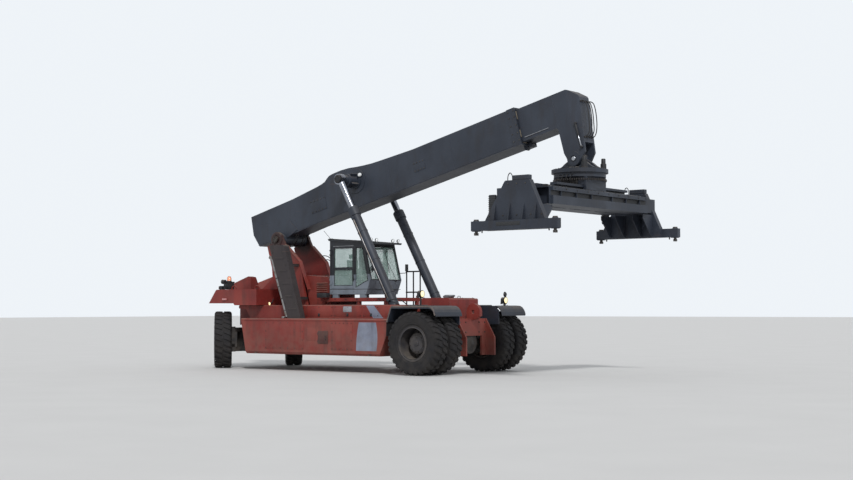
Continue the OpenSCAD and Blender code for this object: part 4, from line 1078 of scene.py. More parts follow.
def left_steps():
    """Steps hung on the left tank below the handrail, and the handrail's joints"""
    rails = [slab([at(x, 1.752, 1.44), at(x, 1.752, 0.52), at(x, 1.93, 0.50), at(x, 1.93, 0.56),
                   at(x, 1.80, 1.36), at(x, 1.79, 1.44)], (0.012, 0, 0), 0.002)
             for x in (-3.10, -2.612)]
    treads = []
    for z, reach in ((0.56, 1.925), (0.86, 1.875), (1.16, 1.83)):
        tread = block(at(-3.09, 1.765, z), at(-2.61, reach, z + 0.03), 0.003)
        select_faces(tread, lambda middle, normal: normal.z > 0.9)
        bpy.ops.mesh.inset(thickness=0.012, use_relative_offset=False)
        bpy.ops.mesh.extrude_region_move(TRANSFORM_OT_translate={"value": (0, 0, -0.01)})
        leave_edit()
        treads.append(tread)
        for bar in range(9):
            x = -3.07 + bar * 0.052
            treads.append(block(at(x, 1.775, z + 0.018), at(x + 0.016, reach - 0.01, z + 0.036),
                                0.002, 1))
    done(joined(rails + treads), "left_steps", "chassis", frame_black)
    post_x = (-3.1, -2.85, -2.6)
    joints = [spun([(0.021, 0.012), (0.045, 0.012), (0.045, 0.0), (0.021, 0.0)], (0, 0, 1),
                   at(x, 1.6, 1.4603), steps=24) for x in post_x]
    joints += [spun([(0.0215, -0.02), (0.03, -0.014), (0.03, 0.014), (0.0215, 0.02)], (0, 0, 1),
                    at(x, 1.6, z), steps=20) for x in post_x for z in (2.2, 2.8)]
    done(joined(joints), "handrail_joints", "chassis", frame_black)


FENDER_TOP = 1.80
FENDER_SIDE = 2.0525


def fender_trim():
    """Edge lip, ribs, step, bolts and rubber flap of each front fender"""
    arc = [(-0.87, 1.38), (-0.74, 1.74), (-0.69, FENDER_TOP), (-0.2, FENDER_TOP),
           (0.25, FENDER_TOP), (0.52, FENDER_TOP)]
    arc += [(0.52 + 0.24 * math.sin(math.radians(a)),
             FENDER_TOP - 0.33 * (1 - math.cos(math.radians(a)))) for a in (15, 30, 45, 60, 75)]
    inner = []
    for i, (x, z) in enumerate(arc):
        before, after = arc[max(i - 1, 0)], arc[min(i + 1, len(arc) - 1)]
        along = Vector((after[0] - before[0], after[1] - before[1])).normalized()
        inner.append((x + along.y * 0.04, z - along.x * 0.04))
    for side, sign in SIDES:
        y = sign * FENDER_SIDE
        outline = [at(x, y, z + 0.003) for x, z in arc] + [at(x, y, z) for x, z in reversed(inner)]
        lip = slab(outline, (0, sign * 0.008, 0), 0.0025)
        done(lip, f"fender_edge_{side}", "chassis", fender_edge)
        ribs = [box((x, x + 0.035), (sign * 1.0, sign * 2.0), (FENDER_TOP, 1.806), 0.003)
                for x in (-0.62, 0.47)]
        step = [box((-0.5, -0.08), (sign * 1.30, sign * 1.62), (FENDER_TOP, 1.818), 0.004)]
        step += [box((-0.48 + i * 0.055, -0.46 + i * 0.055), (sign * 1.32, sign * 1.60),
                     (1.817, 1.824), 0.002, 1) for i in range(8)]
        done(joined(ribs), f"fender_ribs_{side}", "chassis", slate_paint)
        done(joined(step), f"fender_step_{side}", "chassis", step_plate)
        heads = [at(x, sign * y, FENDER_TOP) for x in (-0.35, 0.25) for y in (0.95, 1.9)]
        done(bolts(heads, (0, 0, 1), 0.014), f"fender_bolts_{side}", "chassis",
             bolt_steel)
        flap = slab([at(x, sign * y, z) for x, y, z in (
                         (-0.875, 1.0, 1.40), (-0.875, 2.03, 1.40), (-0.885, 2.03, 1.02),
                         (-0.885, 1.90, 0.99), (-0.885, 1.13, 0.99), (-0.885, 1.0, 1.02))],
                    (-0.012, 0, 0), 0.002)
        done(flap, f"mud_flap_{side}", "chassis", rubber_seal)


fender_edge = plain("fender_edge", paint_colour(112, 100, 92), paint_colour(84, 78, 78), 0.55,
                    grime=0.3)


def rear_grille():
    """Cooling grille on the sloping rear edge: a frame and slats"""
    slope, normal = Vector((0.654, 0, 0.757)), Vector((-0.757, 0, 0.654))
    foot = at(-8.07, 0, 1.925)
    parts = []
    for (y0, v0), (y1, v1) in (((-0.82, 0.0), (-0.78, 0.40)), ((0.78, 0.0), (0.82, 0.40)),
                               ((-0.78, 0.0), (0.78, 0.035)), ((-0.78, 0.365), (0.78, 0.40))):
        corners = [foot + slope * v + Vector((0, y, 0))
                   for y, v in ((y0, v0), (y1, v0), (y1, v1), (y0, v1))]
        parts.append(slab(corners, normal * 0.02, 0.003))
    for i in range(9):
        base = foot + slope * (0.055 + i * 0.036)
        tip = base + slope * 0.022 + normal * 0.016
        parts.append(slab([base + Vector((0, -0.78, 0)), base + Vector((0, 0.78, 0)),
                           tip + Vector((0, 0.78, 0)), tip + Vector((0, -0.78, 0))],
                          normal * 0.004, 0))
    done(joined(parts), "rear_grille", "chassis", frame_black)


def tow_jaw():
    """Tow jaw with its pin"""
    jaw = [block(at(-8.10, -0.12, z), at(-7.93, 0.12, z + 0.035), 0.008) for z in (1.30, 1.47)]
    jaw.append(block(at(-7.965, -0.15, 1.27), at(-7.945, 0.15, 1.535), 0.005))
    done(joined(jaw), "tow_jaw", "chassis", frame_black)
    pin = [rod(at(-8.04, 0, 1.27), at(-8.04, 0, 1.53), 0.025, 0.004),
           pipe([at(-8.075, 0, 1.53), at(-8.06, 0, 1.585), at(-8.02, 0, 1.585),
                 at(-8.005, 0, 1.53)], 0.008)]
    done(joined(pin), "tow_pin", "chassis", bolt_steel)


def counterweight_top():
    """Lifting eyes, joint lines and bolts on top, and a reflector on each flank"""
    for side, sign in SIDES:
        eyes = [pipe([at(x + dx, sign * 1.25, z) for dx, z in (
                          (-0.09, 2.288), (-0.09, 2.34), (-0.05, 2.385), (0.05, 2.385),
                          (0.09, 2.34), (0.09, 2.288))], 0.018) for x in (-7.3, -6.35)]
        joints = [box(x, y, (2.2905, 2.294), 0.001, 1) for x, y in (
                      ((-7.72, -6.05), (sign * 1.0 - 0.004, sign * 1.0 + 0.004)),
                      ((-6.95, -6.942), (sign * 1.0, sign * 1.62)))]
        done(joined(eyes), f"lifting_eyes_{side}", "chassis", red_paint)
        done(joined(joints), f"counterweight_seams_{side}", "chassis", grease)
        done(bolts([at(x, sign * y, 2.29) for x in (-7.55, -6.15) for y in (0.82, 1.5)],
                   (0, 0, 1), 0.02), f"counterweight_bolts_{side}", "chassis",
             bolt_steel)
        # The reflector is given the red lamp glass, so it glows faintly: a painted glow, as it is no
        # lamp
        red = box((-7.40, -7.24), (sign * 1.604, sign * 1.644), (1.98, 2.03), 0.006)
        done(red, f"flank_reflector_{side}", "chassis", lamp_red)


def hood_fittings():
    """Four lids with grab handles and hinges on the engine hood, and grips on its flanks"""
    lids = [slab([at(-5.17 + i * 0.45, s * 0.03, 2.678 - i * 0.021),
                  at(-4.77 + i * 0.45, s * 0.03, 2.659 - i * 0.021),
                  at(-4.77 + i * 0.45, s * 0.47, 2.659 - i * 0.021),
                  at(-5.17 + i * 0.45, s * 0.47, 2.678 - i * 0.021)], (0, 0, -0.014), 0.003)
            for i in (0, 1) for s in (-1, 1)]
    done(joined(lids), "hood_lids", "chassis", red_paint)
    grips = [handle(at(-4.93 + i * 0.45, s * 0.40, 2.665 - i * 0.021),
                    at(-4.83 + i * 0.45, s * 0.40, 2.660 - i * 0.021), (0, 0, 0.035), 0.007)
             for i in (0, 1) for s in (-1, 1)]
    hinges = [rod(at(-5.10 + i * 0.45, s * 0.02, 2.676 - i * 0.02),
                  at(-5.02 + i * 0.45, s * 0.02, 2.672 - i * 0.02), 0.009, 0.002, 12)
              for i in (0, 1) for s in (-1, 1)]
    side_grips = [handle(at(-4.62, s * 0.511, 2.42), at(-4.50, s * 0.511, 2.42),
                         (0, s * 0.03, 0), 0.006) for s in (-1, 1)]
    done(joined(grips + hinges + side_grips), "hood_handles", "chassis",
         black_plastic)


def tower_fittings():
    for side, sign in SIDES:
        face = sign * 0.6102
        collar = spun([(0.105, 0), (0.215, 0), (0.212, 0.018), (0.19, 0.024), (0.125, 0.024)],
                      (0, sign, 0), (PIVOT.x, face, PIVOT.z), steps=56)
        cap = spun([(0.0005, 0.03), (0.088, 0.03), (0.094, 0.022), (0.094, 0.0), (0.0005, 0.0)],
                   (0, sign, 0), (PIVOT.x, sign * 0.6602, PIVOT.z), steps=48)
        done(collar, f"pivot_collar_{side}", "chassis", tower_paint)
        done(cap, f"pivot_cap_{side}", "chassis", bolt_steel)
        heads = ring_of((PIVOT.x, sign * 0.69, PIVOT.z), (0, sign, 0), 0.06, 6)
        heads += ring_of((PIVOT.x, sign * 0.634, PIVOT.z), (0, sign, 0), 0.16, 10, 0.3)
        done(bolts(heads, (0, sign, 0), 0.013), f"pivot_bolts_{side}", "chassis",
             bolt_steel)
        # Stiffening flange along the front edge of the tower plate
        edge = [(-4.95, 2.27), (-5.21, 2.85), (-5.30, 3.09), (-5.86, 3.58)]
        outline = [at(x, sign * 0.50, z) for x, z in edge]
        flange = slab(outline + [p + Vector((0.016, 0, 0.010)) for p in reversed(outline)],
                      (0, sign * 0.135, 0), 0.002)
        done(flange, f"tower_flange_{side}", "chassis", tower_paint)


def tower_pivot_darkening(s, colour):
    """Darker round the pivot: the red goes dark grey in a soft patch"""
    dx, dz = s.x - PIVOT.x, s.z - PIVOT.z
    near = (dx * dx + dz * dz) + s.noise(3, 4) * 0.16 - 0.08
    return s.mix(near.under(0.14, 0.12) * 0.92, colour, paint_colour(40, 34, 34))


tower_paint = worn_paint("tower_paint", RED_FRESH, RED_FADED, marks=tower_pivot_darkening)


def axle_fittings():
    centre = at(0, 0, TYRE_R)
    parts = [spun([(0.20, 0.352), (0.302, 0.345), (0.302, 0.30), (0.31, 0.30), (0.31, 0.265),
                   (0.30, 0.265), (0.20, 0.265)], (1, 0, 0), centre, steps=48),
             spun([(0.0005, 0.44), (0.07, 0.44), (0.09, 0.41), (0.15, 0.385), (0.24, 0.345),
                   (0.0005, 0.33)], (1, 0, 0), centre, steps=48)]
    parts += [slab([centre + Vector((-0.15, y, 0.2)), centre + Vector((0.15, y, 0.2)),
                    centre + Vector((0.10, y * 1.02, 0.33)), centre + Vector((-0.10, y * 1.02, 0.33))],
                   (0, 0.02, 0), 0.003) for y in (-0.42, 0.40)]
    for s in (-1, 1):
        parts.append(spun([(0.21, 0), (0.30, 0.01), (0.315, 0.03), (0.315, 0.10), (0.29, 0.13),
                           (0.21, 0.14)], (0, s, 0), centre + Vector((0, s * 0.70, 0)), steps=48))
        # Brake chamber
        parts.append(spun([(0.0005, 0), (0.07, 0.004), (0.08, 0.02), (0.088, 0.055), (0.08, 0.09),
                           (0.05, 0.12), (0.0005, 0.122)], (1, 0, 0.3),
                          centre + Vector((0.20, s * 0.52, 0.16)), steps=32))
    done(joined(parts), "drive_axle_castings", "chassis", frame_black)
    heads = ring_of(centre + Vector((0.31, 0, 0)), (1, 0, 0), 0.285, 20)
    done(bolts(heads, (1, 0, 0), 0.013), "differential_bolts", "chassis", bolt_steel)
    shaft = [rod(at(-1.20, 0, 0.86), at(-0.55, 0, TYRE_R), 0.045, 0.004),
             spun([(0.0005, 0), (0.10, 0), (0.10, 0.02), (0.06, 0.035), (0.06, 0.12), (0.0005, 0.12)],
                  (-1, 0, 0), at(-0.42, 0, TYRE_R), steps=32)]
    done(joined(shaft), "drive_shaft", "chassis", frame_black)
    # Steering cylinder behind the rear axle
    steer = [rod(at(-7.74, -0.46, 0.82), at(-7.74, 0.46, 0.82), 0.065, 0.006),
             rod(at(-7.74, -0.50, 0.82), at(-7.74, -0.40, 0.82), 0.078, 0.006),
             rod(at(-7.74, 0.40, 0.82), at(-7.74, 0.50, 0.82), 0.078, 0.006)]
    steer += [block(at(-7.76, s * 0.25 - 0.04, 0.72), at(-7.66, s * 0.25 + 0.04, 0.92), 0.006)
              for s in (-1, 1)]
    done(joined(steer), "steering_cylinder", "chassis", frame_black)
    rods = rod(at(-7.74, -0.68, 0.82), at(-7.74, 0.68, 0.82), 0.035, 0.003)
    done(rods, "steering_rod", "chassis", rod_chrome)
    heads = [at(x, y, 1.2303) for x in (-7.68, -7.32) for y in (-0.26, 0.26)]
    done(bolts(heads, (0, 0, -1), 0.02), "axle_cradle_bolts", "chassis", bolt_steel)


def nose_fittings():
    """Lid, handles, bolts and breather caps of the valve housing, and bolts on the nose"""
    lid = block(at(-0.80, -0.60, 2.0), at(0.06, 0.60, 2.012), 0.004)
    seam = block(at(-0.375, -0.60, 2.008), at(-0.365, 0.60, 2.016), 0.001, 1)
    done(joined([lid, seam]), "housing_lid", "chassis", red_paint)
    grips = [handle(at(x, -0.06, 2.012), at(x, 0.06, 2.012), (0, 0, 0.045), 0.008)
             for x in (-0.72, -0.02)]
    done(joined(grips), "housing_grips", "chassis", black_plastic)
    done(bolts([at(x, y, 2.012) for x in (-0.76, -0.40, -0.33, 0.02) for y in (-0.56, 0.56)],
               (0, 0, 1), 0.011), "housing_bolts", "chassis", bolt_steel)
    front = bolts([at(0.42, y, z) for y in (-0.56, -0.3, 0.3, 0.56) for z in (1.10, 1.36)],
                  (1, 0, 0), 0.016)
    lug = bolts([at(0.485, 0.0605, 1.77)], (0, 1, 0), 0.01)
    done(joined([front, lug]), "nose_bolts", "chassis", bolt_steel)
    cap = spun([(0.0005, 0.09), (0.13, 0.088), (0.15, 0.075), (0.155, 0.05), (0.12, 0.03),
                (0.11, 0.0), (0.0005, 0.0)], (0, 0, 1), at(-0.62, 0.38, 2.012), steps=40)
    cap2 = spun([(0.0005, 0.06), (0.07, 0.058), (0.08, 0.045), (0.07, 0.0), (0.0005, 0.0)],
                (0, 0, 1), at(-0.16, -0.40, 2.012), steps=32)
    done(joined([cap, cap2]), "breather_caps", "chassis", step_plate)


def exhaust_fittings():
    foot, top = at(-4.82, -1.53, 1.46), at(-5.56, -1.53, 3.53)
    up = (top - foot).normalized()
    back = Vector((-up.z, 0, up.x))
    centre = foot + back * 0.0553
    clamps = []
    for share in (0.12, 0.35, 0.58, 0.74):
        place = centre + up * (0.06 + 1.56 * share)
        clamps.append(spun([(0.0555, -0.012), (0.062, -0.012), (0.062, 0.012), (0.0555, 0.012)],
                           up, place, steps=32))
        clamps.append(block(place + Vector((0.04, -0.02, -0.012)),
                            place + Vector((0.10, 0.02, 0.012)), 0.003))
    done(joined(clamps), "pipe_clamps", "chassis", bolt_steel)
    end = centre + up * 1.622
    stack = pipe([end - up * 0.03, end + up * 0.10, end + up * 0.20 + back * 0.02,
                  end + up * 0.27 + back * 0.08], 0.048, 5)
    done(stack, "pipe_end", "chassis", pipe_steel)
    # Pressed ribs and bolts on the face of the shield
    ribs, heads = [], []
    for i in range(5):
        low = foot + up * (0.25 + i * 0.38)
        a = low + Vector((0.12, -0.0705, 0))
        ribs.append(slab([a, a + Vector((0.30, 0, 0)), a + Vector((0.30, 0, 0)) + up * 0.05,
                          a + up * 0.05], (0, -0.007, 0), 0.003))
        heads += [low + up * 0.2 + Vector((x, -0.0705, 0)) for x in (0.05, 0.45)]
    done(joined(ribs), "shield_ribs", "chassis", shield_paint)
    done(bolts(heads, (0, -1, 0), 0.011), "shield_bolts", "chassis", bolt_steel)


def rail_fittings():
    """Step, end stops, bolts and cable chain of the cab's rails"""
    step = [block(at(-4.34, -0.92, 2.035), at(-3.99, -0.755, 2.165), 0.01)]
    step += [block(at(-4.32 + i * 0.045, -0.91, 2.163), at(-4.305 + i * 0.045, -0.765, 2.171),
                   0.002, 1) for i in range(8)]
    done(joined(step), "rail_step", "chassis", black_plastic)
    stops = [box((-2.0, -1.96), (s * 0.69 - 0.05, s * 0.69 + 0.05), (2.0303, 2.09), 0.006)
             for s in (-1, 1)]
    done(joined(stops), "rail_stops", "chassis", red_paint)
    bolt_x = (-4.2, -3.8, -3.4, -3.0, -2.6, -2.2)
    for side, sign in SIDES:
        done(bolts([at(x, sign * 0.752, 1.99) for x in bolt_x], (0, sign, 0), 0.012),
             f"rail_bolts_{side}", "chassis", bolt_steel)
    link = block((-0.032, -0.05, 0), (0.032, 0.05, 0.045), 0.006, 1)
    chain = copied(link, [Matrix.Translation(at(-4.0 + i * 0.07, 0.30, 1.935)) for i in range(24)])
    done(chain, "cable_chain", "chassis", black_plastic)


tanks()
left_steps()
fender_trim()
rear_grille()
tow_jaw()
counterweight_top()
hood_fittings()
tower_fittings()
axle_fittings()
nose_fittings()
exhaust_fittings()
rail_fittings()


# Window beads, hoses and cushions

def ring_bead(corners, radius=0.009):
    """A rubber bead round a window"""
    piece = tube("bead", corners, radius)
    piece.data.splines[0].use_cyclic_u = True
    pick_only(piece)
    bpy.ops.object.convert(target="MESH")
    return bpy.context.object


def ferrule(place, direction, size):
    """The crimped end of a hose and its union nut, pointing along direction"""
    r = size / 2
    sleeve = spun([(0.0005, -0.004), (r * 1.15, -0.004), (r * 1.3, 0.004), (r * 1.3, r * 2.6),
                   (r * 1.1, r * 3.0), (0.0005, r * 3.0)], direction, place, steps=20)
    nut = moved(bolt(r * 1.35, r * 1.6), facing(place, Vector(direction)))
    return [sleeve, nut]


def hose(name, points, size, blend=None, body=None):
    """A rubber hose through some points, with a crimped fitting at each end"""
    line = smooth_line(points, 5)
    ends = (ferrule(line[0], line[1] - line[0], size)
            + ferrule(line[-1], line[-2] - line[-1], size))
    first, last = joined(ends[:2]), joined(ends[2:])
    bodies = blend or (body, body)
    done(first, f"{name}_fitting_a", bodies[0], bolt_steel)
    done(last, f"{name}_fitting_b", bodies[1], bolt_steel)
    piece = tube(name, line, size / 2)
    piece.data.materials.append(hose_rubber)
    if blend:
        pick_only(piece)
        bpy.ops.object.convert(target="MESH")
        piece = bpy.context.object
        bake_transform(piece)
    else:
        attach(piece, body)
    length = sum((b - a).length for a, b in zip(line, line[1:]))


def rounded_cushion(name, low, high, body="cab"):
    """A seat cushion: a rounded box, crowned by the pressure of its foam under the cloth"""
    low, high = Vector(low), Vector(high)
    inset = Vector((0.008, 0.008, 0.008))
    piece = block(low + inset, high - inset, 0.03, 4)
    pick_only(piece)
    size = piece.modifiers.new("remesh", "REMESH")
    size.mode = "VOXEL"
    size.voxel_size = 0.006
    bpy.ops.object.modifier_apply(modifier="remesh")
    rest = [v.co.copy() for v in piece.data.vertices]
    cloth = piece.modifiers.new("cloth", "CLOTH")
    cloth.settings.use_pressure = True
    cloth.settings.uniform_pressure_force = 4
    cloth.settings.quality = 3
    cloth.settings.effector_weights.gravity = 0
    for step in range(1, 21):
        bpy.context.scene.frame_set(step)
    bpy.ops.object.modifier_apply(modifier="cloth")
    bpy.context.scene.frame_set(1)
    for vertex, start in zip(piece.data.vertices, rest):
        move = vertex.co - start
        if move.length > 0.012:
            vertex.co = start + move * (0.012 / move.length)
    # Two sewn channels across it
    for vertex in piece.data.vertices:
        t = (vertex.co.y - (low.y + high.y) / 2) / (high.y - low.y)
        dip = math.exp(-((abs(t) - 0.3) / 0.02) ** 2) * 0.006
        vertex.co -= vertex.normal * dip
    piece.modifiers.new("smooth", "SUBSURF").levels = 1
    piece.modifiers["smooth"].render_levels = 1
    bpy.ops.object.modifier_apply(modifier="smooth")
    done(piece, name, body, seat_fabric, 180)
    return piece


# Cab

CAB_SIDE = 0.692


def window_seals():
    front = [at(-2.563, -0.63, 2.535), at(-2.563, 0.63, 2.535), at(-2.797, 0.63, 3.46),
             at(-2.797, -0.63, 3.46)]
    rear = [at(-4.052, y, z) for y, z in ((-0.6, 2.88), (0.6, 2.88), (0.6, 3.55), (-0.6, 3.55))]
    beads = [ring_bead([p + Vector((0.004, 0, 0)) for p in front], 0.013),
             ring_bead(rear, 0.012)]
    for s in (-1, 1):
        beads.append(ring_bead([at(x, s * CAB_SIDE, z) for x, z in (
            (-3.08, 2.32), (-2.79, 2.46), (-2.64, 2.51), (-2.85, 3.42), (-3.08, 3.42))], 0.009))
    done(joined(beads), "window_seals", "cab", rubber_seal)


def wipers():
    """Two wipers on the windscreen"""
    lean = Vector((-0.247, 0, 0.969))

    def off(distance):
        return Vector((distance, 0, 0))

    arms = []
    for y in (-0.22, 0.42):
        foot = at(-2.556, y, 2.50)
        tip = foot + lean * 0.55 + Vector((0.022, -0.22, 0))
        arms.append(rod(foot + off(-0.02), foot + off(0.035), 0.018, 0.004))
        arms.append(pipe([foot + off(0.03), foot + lean * 0.2 + Vector((0.034, -0.07, 0)), tip],
                         0.006))
        arms.append(pipe([tip - lean * 0.30 + off(-0.008), tip + off(-0.003),
                          tip + lean * 0.30 + off(-0.008)], 0.007))
    done(joined(arms), "wipers", "cab", black_plastic)


def door_fittings():
    """Window seals, grab handle and lock of each door"""
    for side, sign in SIDES:
        y = sign * CAB_SIDE
        seals = [ring_bead([at(-3.88, y, low), at(-3.20, y, low), at(-3.20, y, high),
                            at(-3.88, y, high)], 0.008)
                 for low, high in ((2.88, 3.42), (2.38, 2.82))]
        done(joined(seals), f"door_seals_{side}", f"door_{side}", rubber_seal)
        grip = handle(at(-3.175, y, 2.62), at(-3.175, y, 2.84), (0, sign * 0.035, 0), 0.008)
        lock = box((-3.192, -3.158), (y, y + sign * 0.014), (2.50, 2.60), 0.005)
        barrel = rod(at(-3.175, y + sign * 0.01, 2.53), at(-3.175, y + sign * 0.022, 2.53),
                     0.010, 0.002)
        done(joined([grip, lock, barrel]), f"door_handle_{side}", f"door_{side}",
             black_plastic)


def cab_grips():
    """Grab handles, mirrors on short arms ahead of the cab, and an aerial at the rear"""
    mirror_y, aerial_y = 0.745, -0.6
    grips = []
    for s in (-1, 1):
        y = s * mirror_y
        grips.append(handle(at(-3.115, s * 0.691, 2.55), at(-3.115, s * 0.691, 3.15),
                            (0, s * 0.055, 0), 0.010))
        grips.append(pipe([at(-2.66, s * 0.66, 2.72), at(-2.56, s * 0.72, 2.73),
                           at(-2.44, y, 2.74), at(-2.41, y, 2.80)], 0.010))
        grips.append(block(at(-2.435, y - 0.055, 2.78), at(-2.395, y + 0.055, 2.98), 0.014, 3))
    grips.append(pipe([at(-4.05, aerial_y, 3.665), at(-4.10, aerial_y, 3.70),
                       at(-4.36, aerial_y, 3.94)], 0.006))
    grips.append(rod(at(-4.06, aerial_y, 3.64), at(-4.04, aerial_y, 3.715), 0.02, 0.004))
    done(joined(grips), "cab_grips", "cab", black_plastic)
    glass = [block(at(-2.438, s * mirror_y - 0.046, 2.79), at(-2.4345, s * mirror_y + 0.046, 2.97),
                   0.001) for s in (-1, 1)]
    done(joined(glass), "mirror_faces", "cab", bright_steel)


def roof_ribs():
    """Raised ribs on the roof, and a drip rail along each side"""
    fall = Matrix.Translation(at(-4.05, 0, 3.7)) @ Matrix.Rotation(math.atan2(0.13, 1.46), 4, "Y")
    ribs = [moved(block((0.10, y - 0.035, -0.003), (1.30, y + 0.035, 0.010), 0.008), fall)
            for y in (-0.5, -0.25, 0, 0.25, 0.5)]
    ribs += [moved(block((0.0, s * 0.715 - 0.01, -0.02), (1.48, s * 0.715 + 0.01, 0.012), 0.004),
                   fall) for s in (-1, 1)]
    done(joined(ribs), "roof_ribs", "cab", black_plastic)


def air_unit():
    """Air unit with its slats, on the rear wall"""
    unit = [block(at(-4.10, -0.42, 2.28), at(-4.045, 0.42, 2.78), 0.012)]
    for slat in range(12):
        z = 2.32 + slat * 0.035
        unit.append(block(at(-4.108, -0.38, z), at(-4.098, 0.38, z + 0.015), 0.002, 1))
    done(joined(unit), "air_unit", "cab", black_plastic)


def roof_lamps():
    bodies, lenses = [], []
    for s in (-1, 1):
        for y, outwards in ((0.60, 0.15), (0.36, 0.0)):
            housing, lens = lamp(at(-2.60, s * y, 3.635), (1, s * outwards, -0.2), 0.055, 0.05)
            bodies += housing
            bodies.append(rod(at(-2.635, s * y, 3.57), at(-2.635, s * y, 3.62), 0.012, 0.002))
            lenses.append(lens)
    done(joined(bodies), "roof_lamp_bodies", "cab", black_plastic)
    done(joined(lenses), "roof_lamp_lenses", "cab", lamp_clear)


def cab_panel_lines():
    """Joint lines of the cab's lower panels with their screws, and caps on the door hinges"""
    strips = []
    for side, sign in SIDES:
        y = sign * 0.6903
        strips.append(box((-4.04, -2.60), (y, y + sign * 0.004), (2.262, 2.276), 0.0015))
        screws = [at(x, y, 2.20) for x in (-3.95, -3.55, -3.15, -2.75)]
        done(bolts(screws, (0, sign, 0), 0.008), f"cab_screws_{side}", "cab",
             bolt_steel)
    strips.append(block(at(-2.652, -0.64, 2.262), at(-2.644, 0.64, 2.276), 0.0015))
    done(joined(strips), "cab_joint_lines", "cab", black_plastic)
    for side, sign in SIDES:
        caps = [spun([(0.0005, 0.012), (0.012, 0.01), (0.013, 0.004), (0.0005, 0.004)], (0, 0, 1),
                     at(-3.99, sign * 0.706, z), steps=16) for z in (2.52, 3.35)]
        done(joined(caps), f"hinge_caps_{side}", "cab", bolt_steel)


def seat():
    """The seat's padded pieces on their frame, with arm rests, a lever, a monitor and pedals"""
    cushion = rounded_cushion("seat_cushion", at(-3.75, -0.24, 2.55), at(-3.25, 0.24, 2.67))
    rounded_cushion("seat_back", at(-3.86, -0.23, 2.69), at(-3.75, 0.23, 3.12))
    rounded_cushion("head_rest", at(-3.85, -0.14, 3.14), at(-3.77, 0.14, 3.28))
    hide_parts("cab_seat")
    base = block(at(-3.74, -0.21, 2.52), at(-3.28, 0.21, 2.552), 0.01)
    bellows = spun([(0.055, 0.0), (0.12, 0.0), (0.125, 0.02), (0.07, 0.06), (0.06, 0.33),
                    (0.055, 0.33)], (0, 0, 1), at(-3.5, 0, 2.19), steps=32)
    head_posts = [pipe([at(-3.80, y, 3.10), at(-3.81, y, 3.18)], 0.006, 2) for y in (-0.09, 0.09)]
    spine = pipe([at(-3.70, 0, 2.535), at(-3.84, 0, 2.56), at(-3.868, 0, 2.66),
                  at(-3.868, 0, 2.80)], 0.016)
    arm_rests = []
    for s in (-1, 1):
        arm_rests.append(pipe([at(-3.82, s * 0.245, 2.80), at(-3.78, s * 0.285, 2.83),
                               at(-3.60, s * 0.29, 2.845)], 0.012))
        arm_rests.append(block(at(-3.74, s * 0.29 - 0.035, 2.85), at(-3.38, s * 0.29 + 0.035, 2.885),
                               0.014, 3))
    lever = spun([(0.0005, 0.13), (0.015, 0.128), (0.022, 0.11), (0.018, 0.08), (0.009, 0.06),
                  (0.007, 0.03), (0.03, 0.012), (0.035, 0.0), (0.0005, 0.0)],
                 (0.1, 0, 1), at(-3.42, -0.29, 2.883), steps=24)
    monitor = block(at(-2.93, -0.52, 2.92), at(-2.90, -0.34, 3.06), 0.01)
    stem = pipe([at(-2.91, -0.43, 2.93), at(-2.89, -0.45, 2.82), at(-2.84, -0.50, 2.70)], 0.009)
    pedals = [slab([at(-2.86, y - 0.04, 2.23), at(-2.86, y + 0.04, 2.23), at(-2.80, y + 0.04, 2.36),
                    at(-2.80, y - 0.04, 2.36)], (0.012, 0, 0.005), 0.003)
              for y in (-0.22, -0.10, 0.2)]
    done(joined([base, bellows] + head_posts + [spine] + arm_rests + [lever, monitor, stem]
                + pedals), "seat_frame", "cab", black_plastic)


def floor_mat():
    parts = [block(at(-3.95, -0.60, 2.1903), at(-2.72, 0.60, 2.20), 0.003)]
    parts += [block(at(-3.90 + i * 0.1, -0.58, 2.199), at(-3.86 + i * 0.1, 0.58, 2.204), 0.001, 1)
              for i in range(12)]
    done(joined(parts), "floor_mat", "cab", floor_mat_rubber)


window_seals()
wipers()
door_fittings()
cab_grips()
roof_ribs()
air_unit()
roof_lamps()
cab_panel_lines()
seat()
floor_mat()


# Boom and its cylinders

def boom_block(u, y, v, edge=0.004, segments=2):
    """A box lined up with the boom"""
    piece = block((u[0], y[0], v[0]), (u[1], y[1], v[1]), edge, segments)
    return moved(piece, IN_BOOM)


BOOM_UP = (IN_BOOM.to_3x3() @ Vector((0, 0, 1))).normalized()
BOOM_AHEAD = (IN_BOOM.to_3x3() @ Vector((1, 0, 0))).normalized()
BOOM_SIDE = 0.352
# Covers on the boom's sides: range along it, range square to it, half thickness, bolts along
BOOM_COVERS = (((1.30, 1.90), (0.40, 0.78), 0.005, 5), ((5.2, 5.6), (0.42, 0.70), 0.004, 4))
# The lift cylinders' trunnion, along the boom and square to it
TRUNNION_U, TRUNNION_V = 3.105, 0.847


def boom_seams():
    """Weld beads along the lower edges, and plate joints, covers and trunnion plates"""
    strips = []
    for s in (-1, 1):
        face = s * BOOM_SIDE
        strips.append(boom_block((-1.0, 8.50), (face - 0.004, face + 0.004), (0.107, 0.123),
                                 0.003, 1))
        strips += [boom_block((u - 0.007, u + 0.007), (face - 0.003, face + 0.003), (0.12, 1.05),
                              0.002, 1) for u in (0.62, 4.35, 6.55)]
        strips += [boom_block(u, (s * 0.353 - half, s * 0.353 + half), v, 0.004)
                   for u, v, half, _ in BOOM_COVERS]
        strips.append(moved(spun([(0.15, 0), (0.36, 0), (0.355, 0.016), (0.16, 0.016)], (0, s, 0),
                                 (TRUNNION_U, face, TRUNNION_V), steps=48), IN_BOOM))
    done(joined(strips), "boom_seams", "boom", slate_paint)


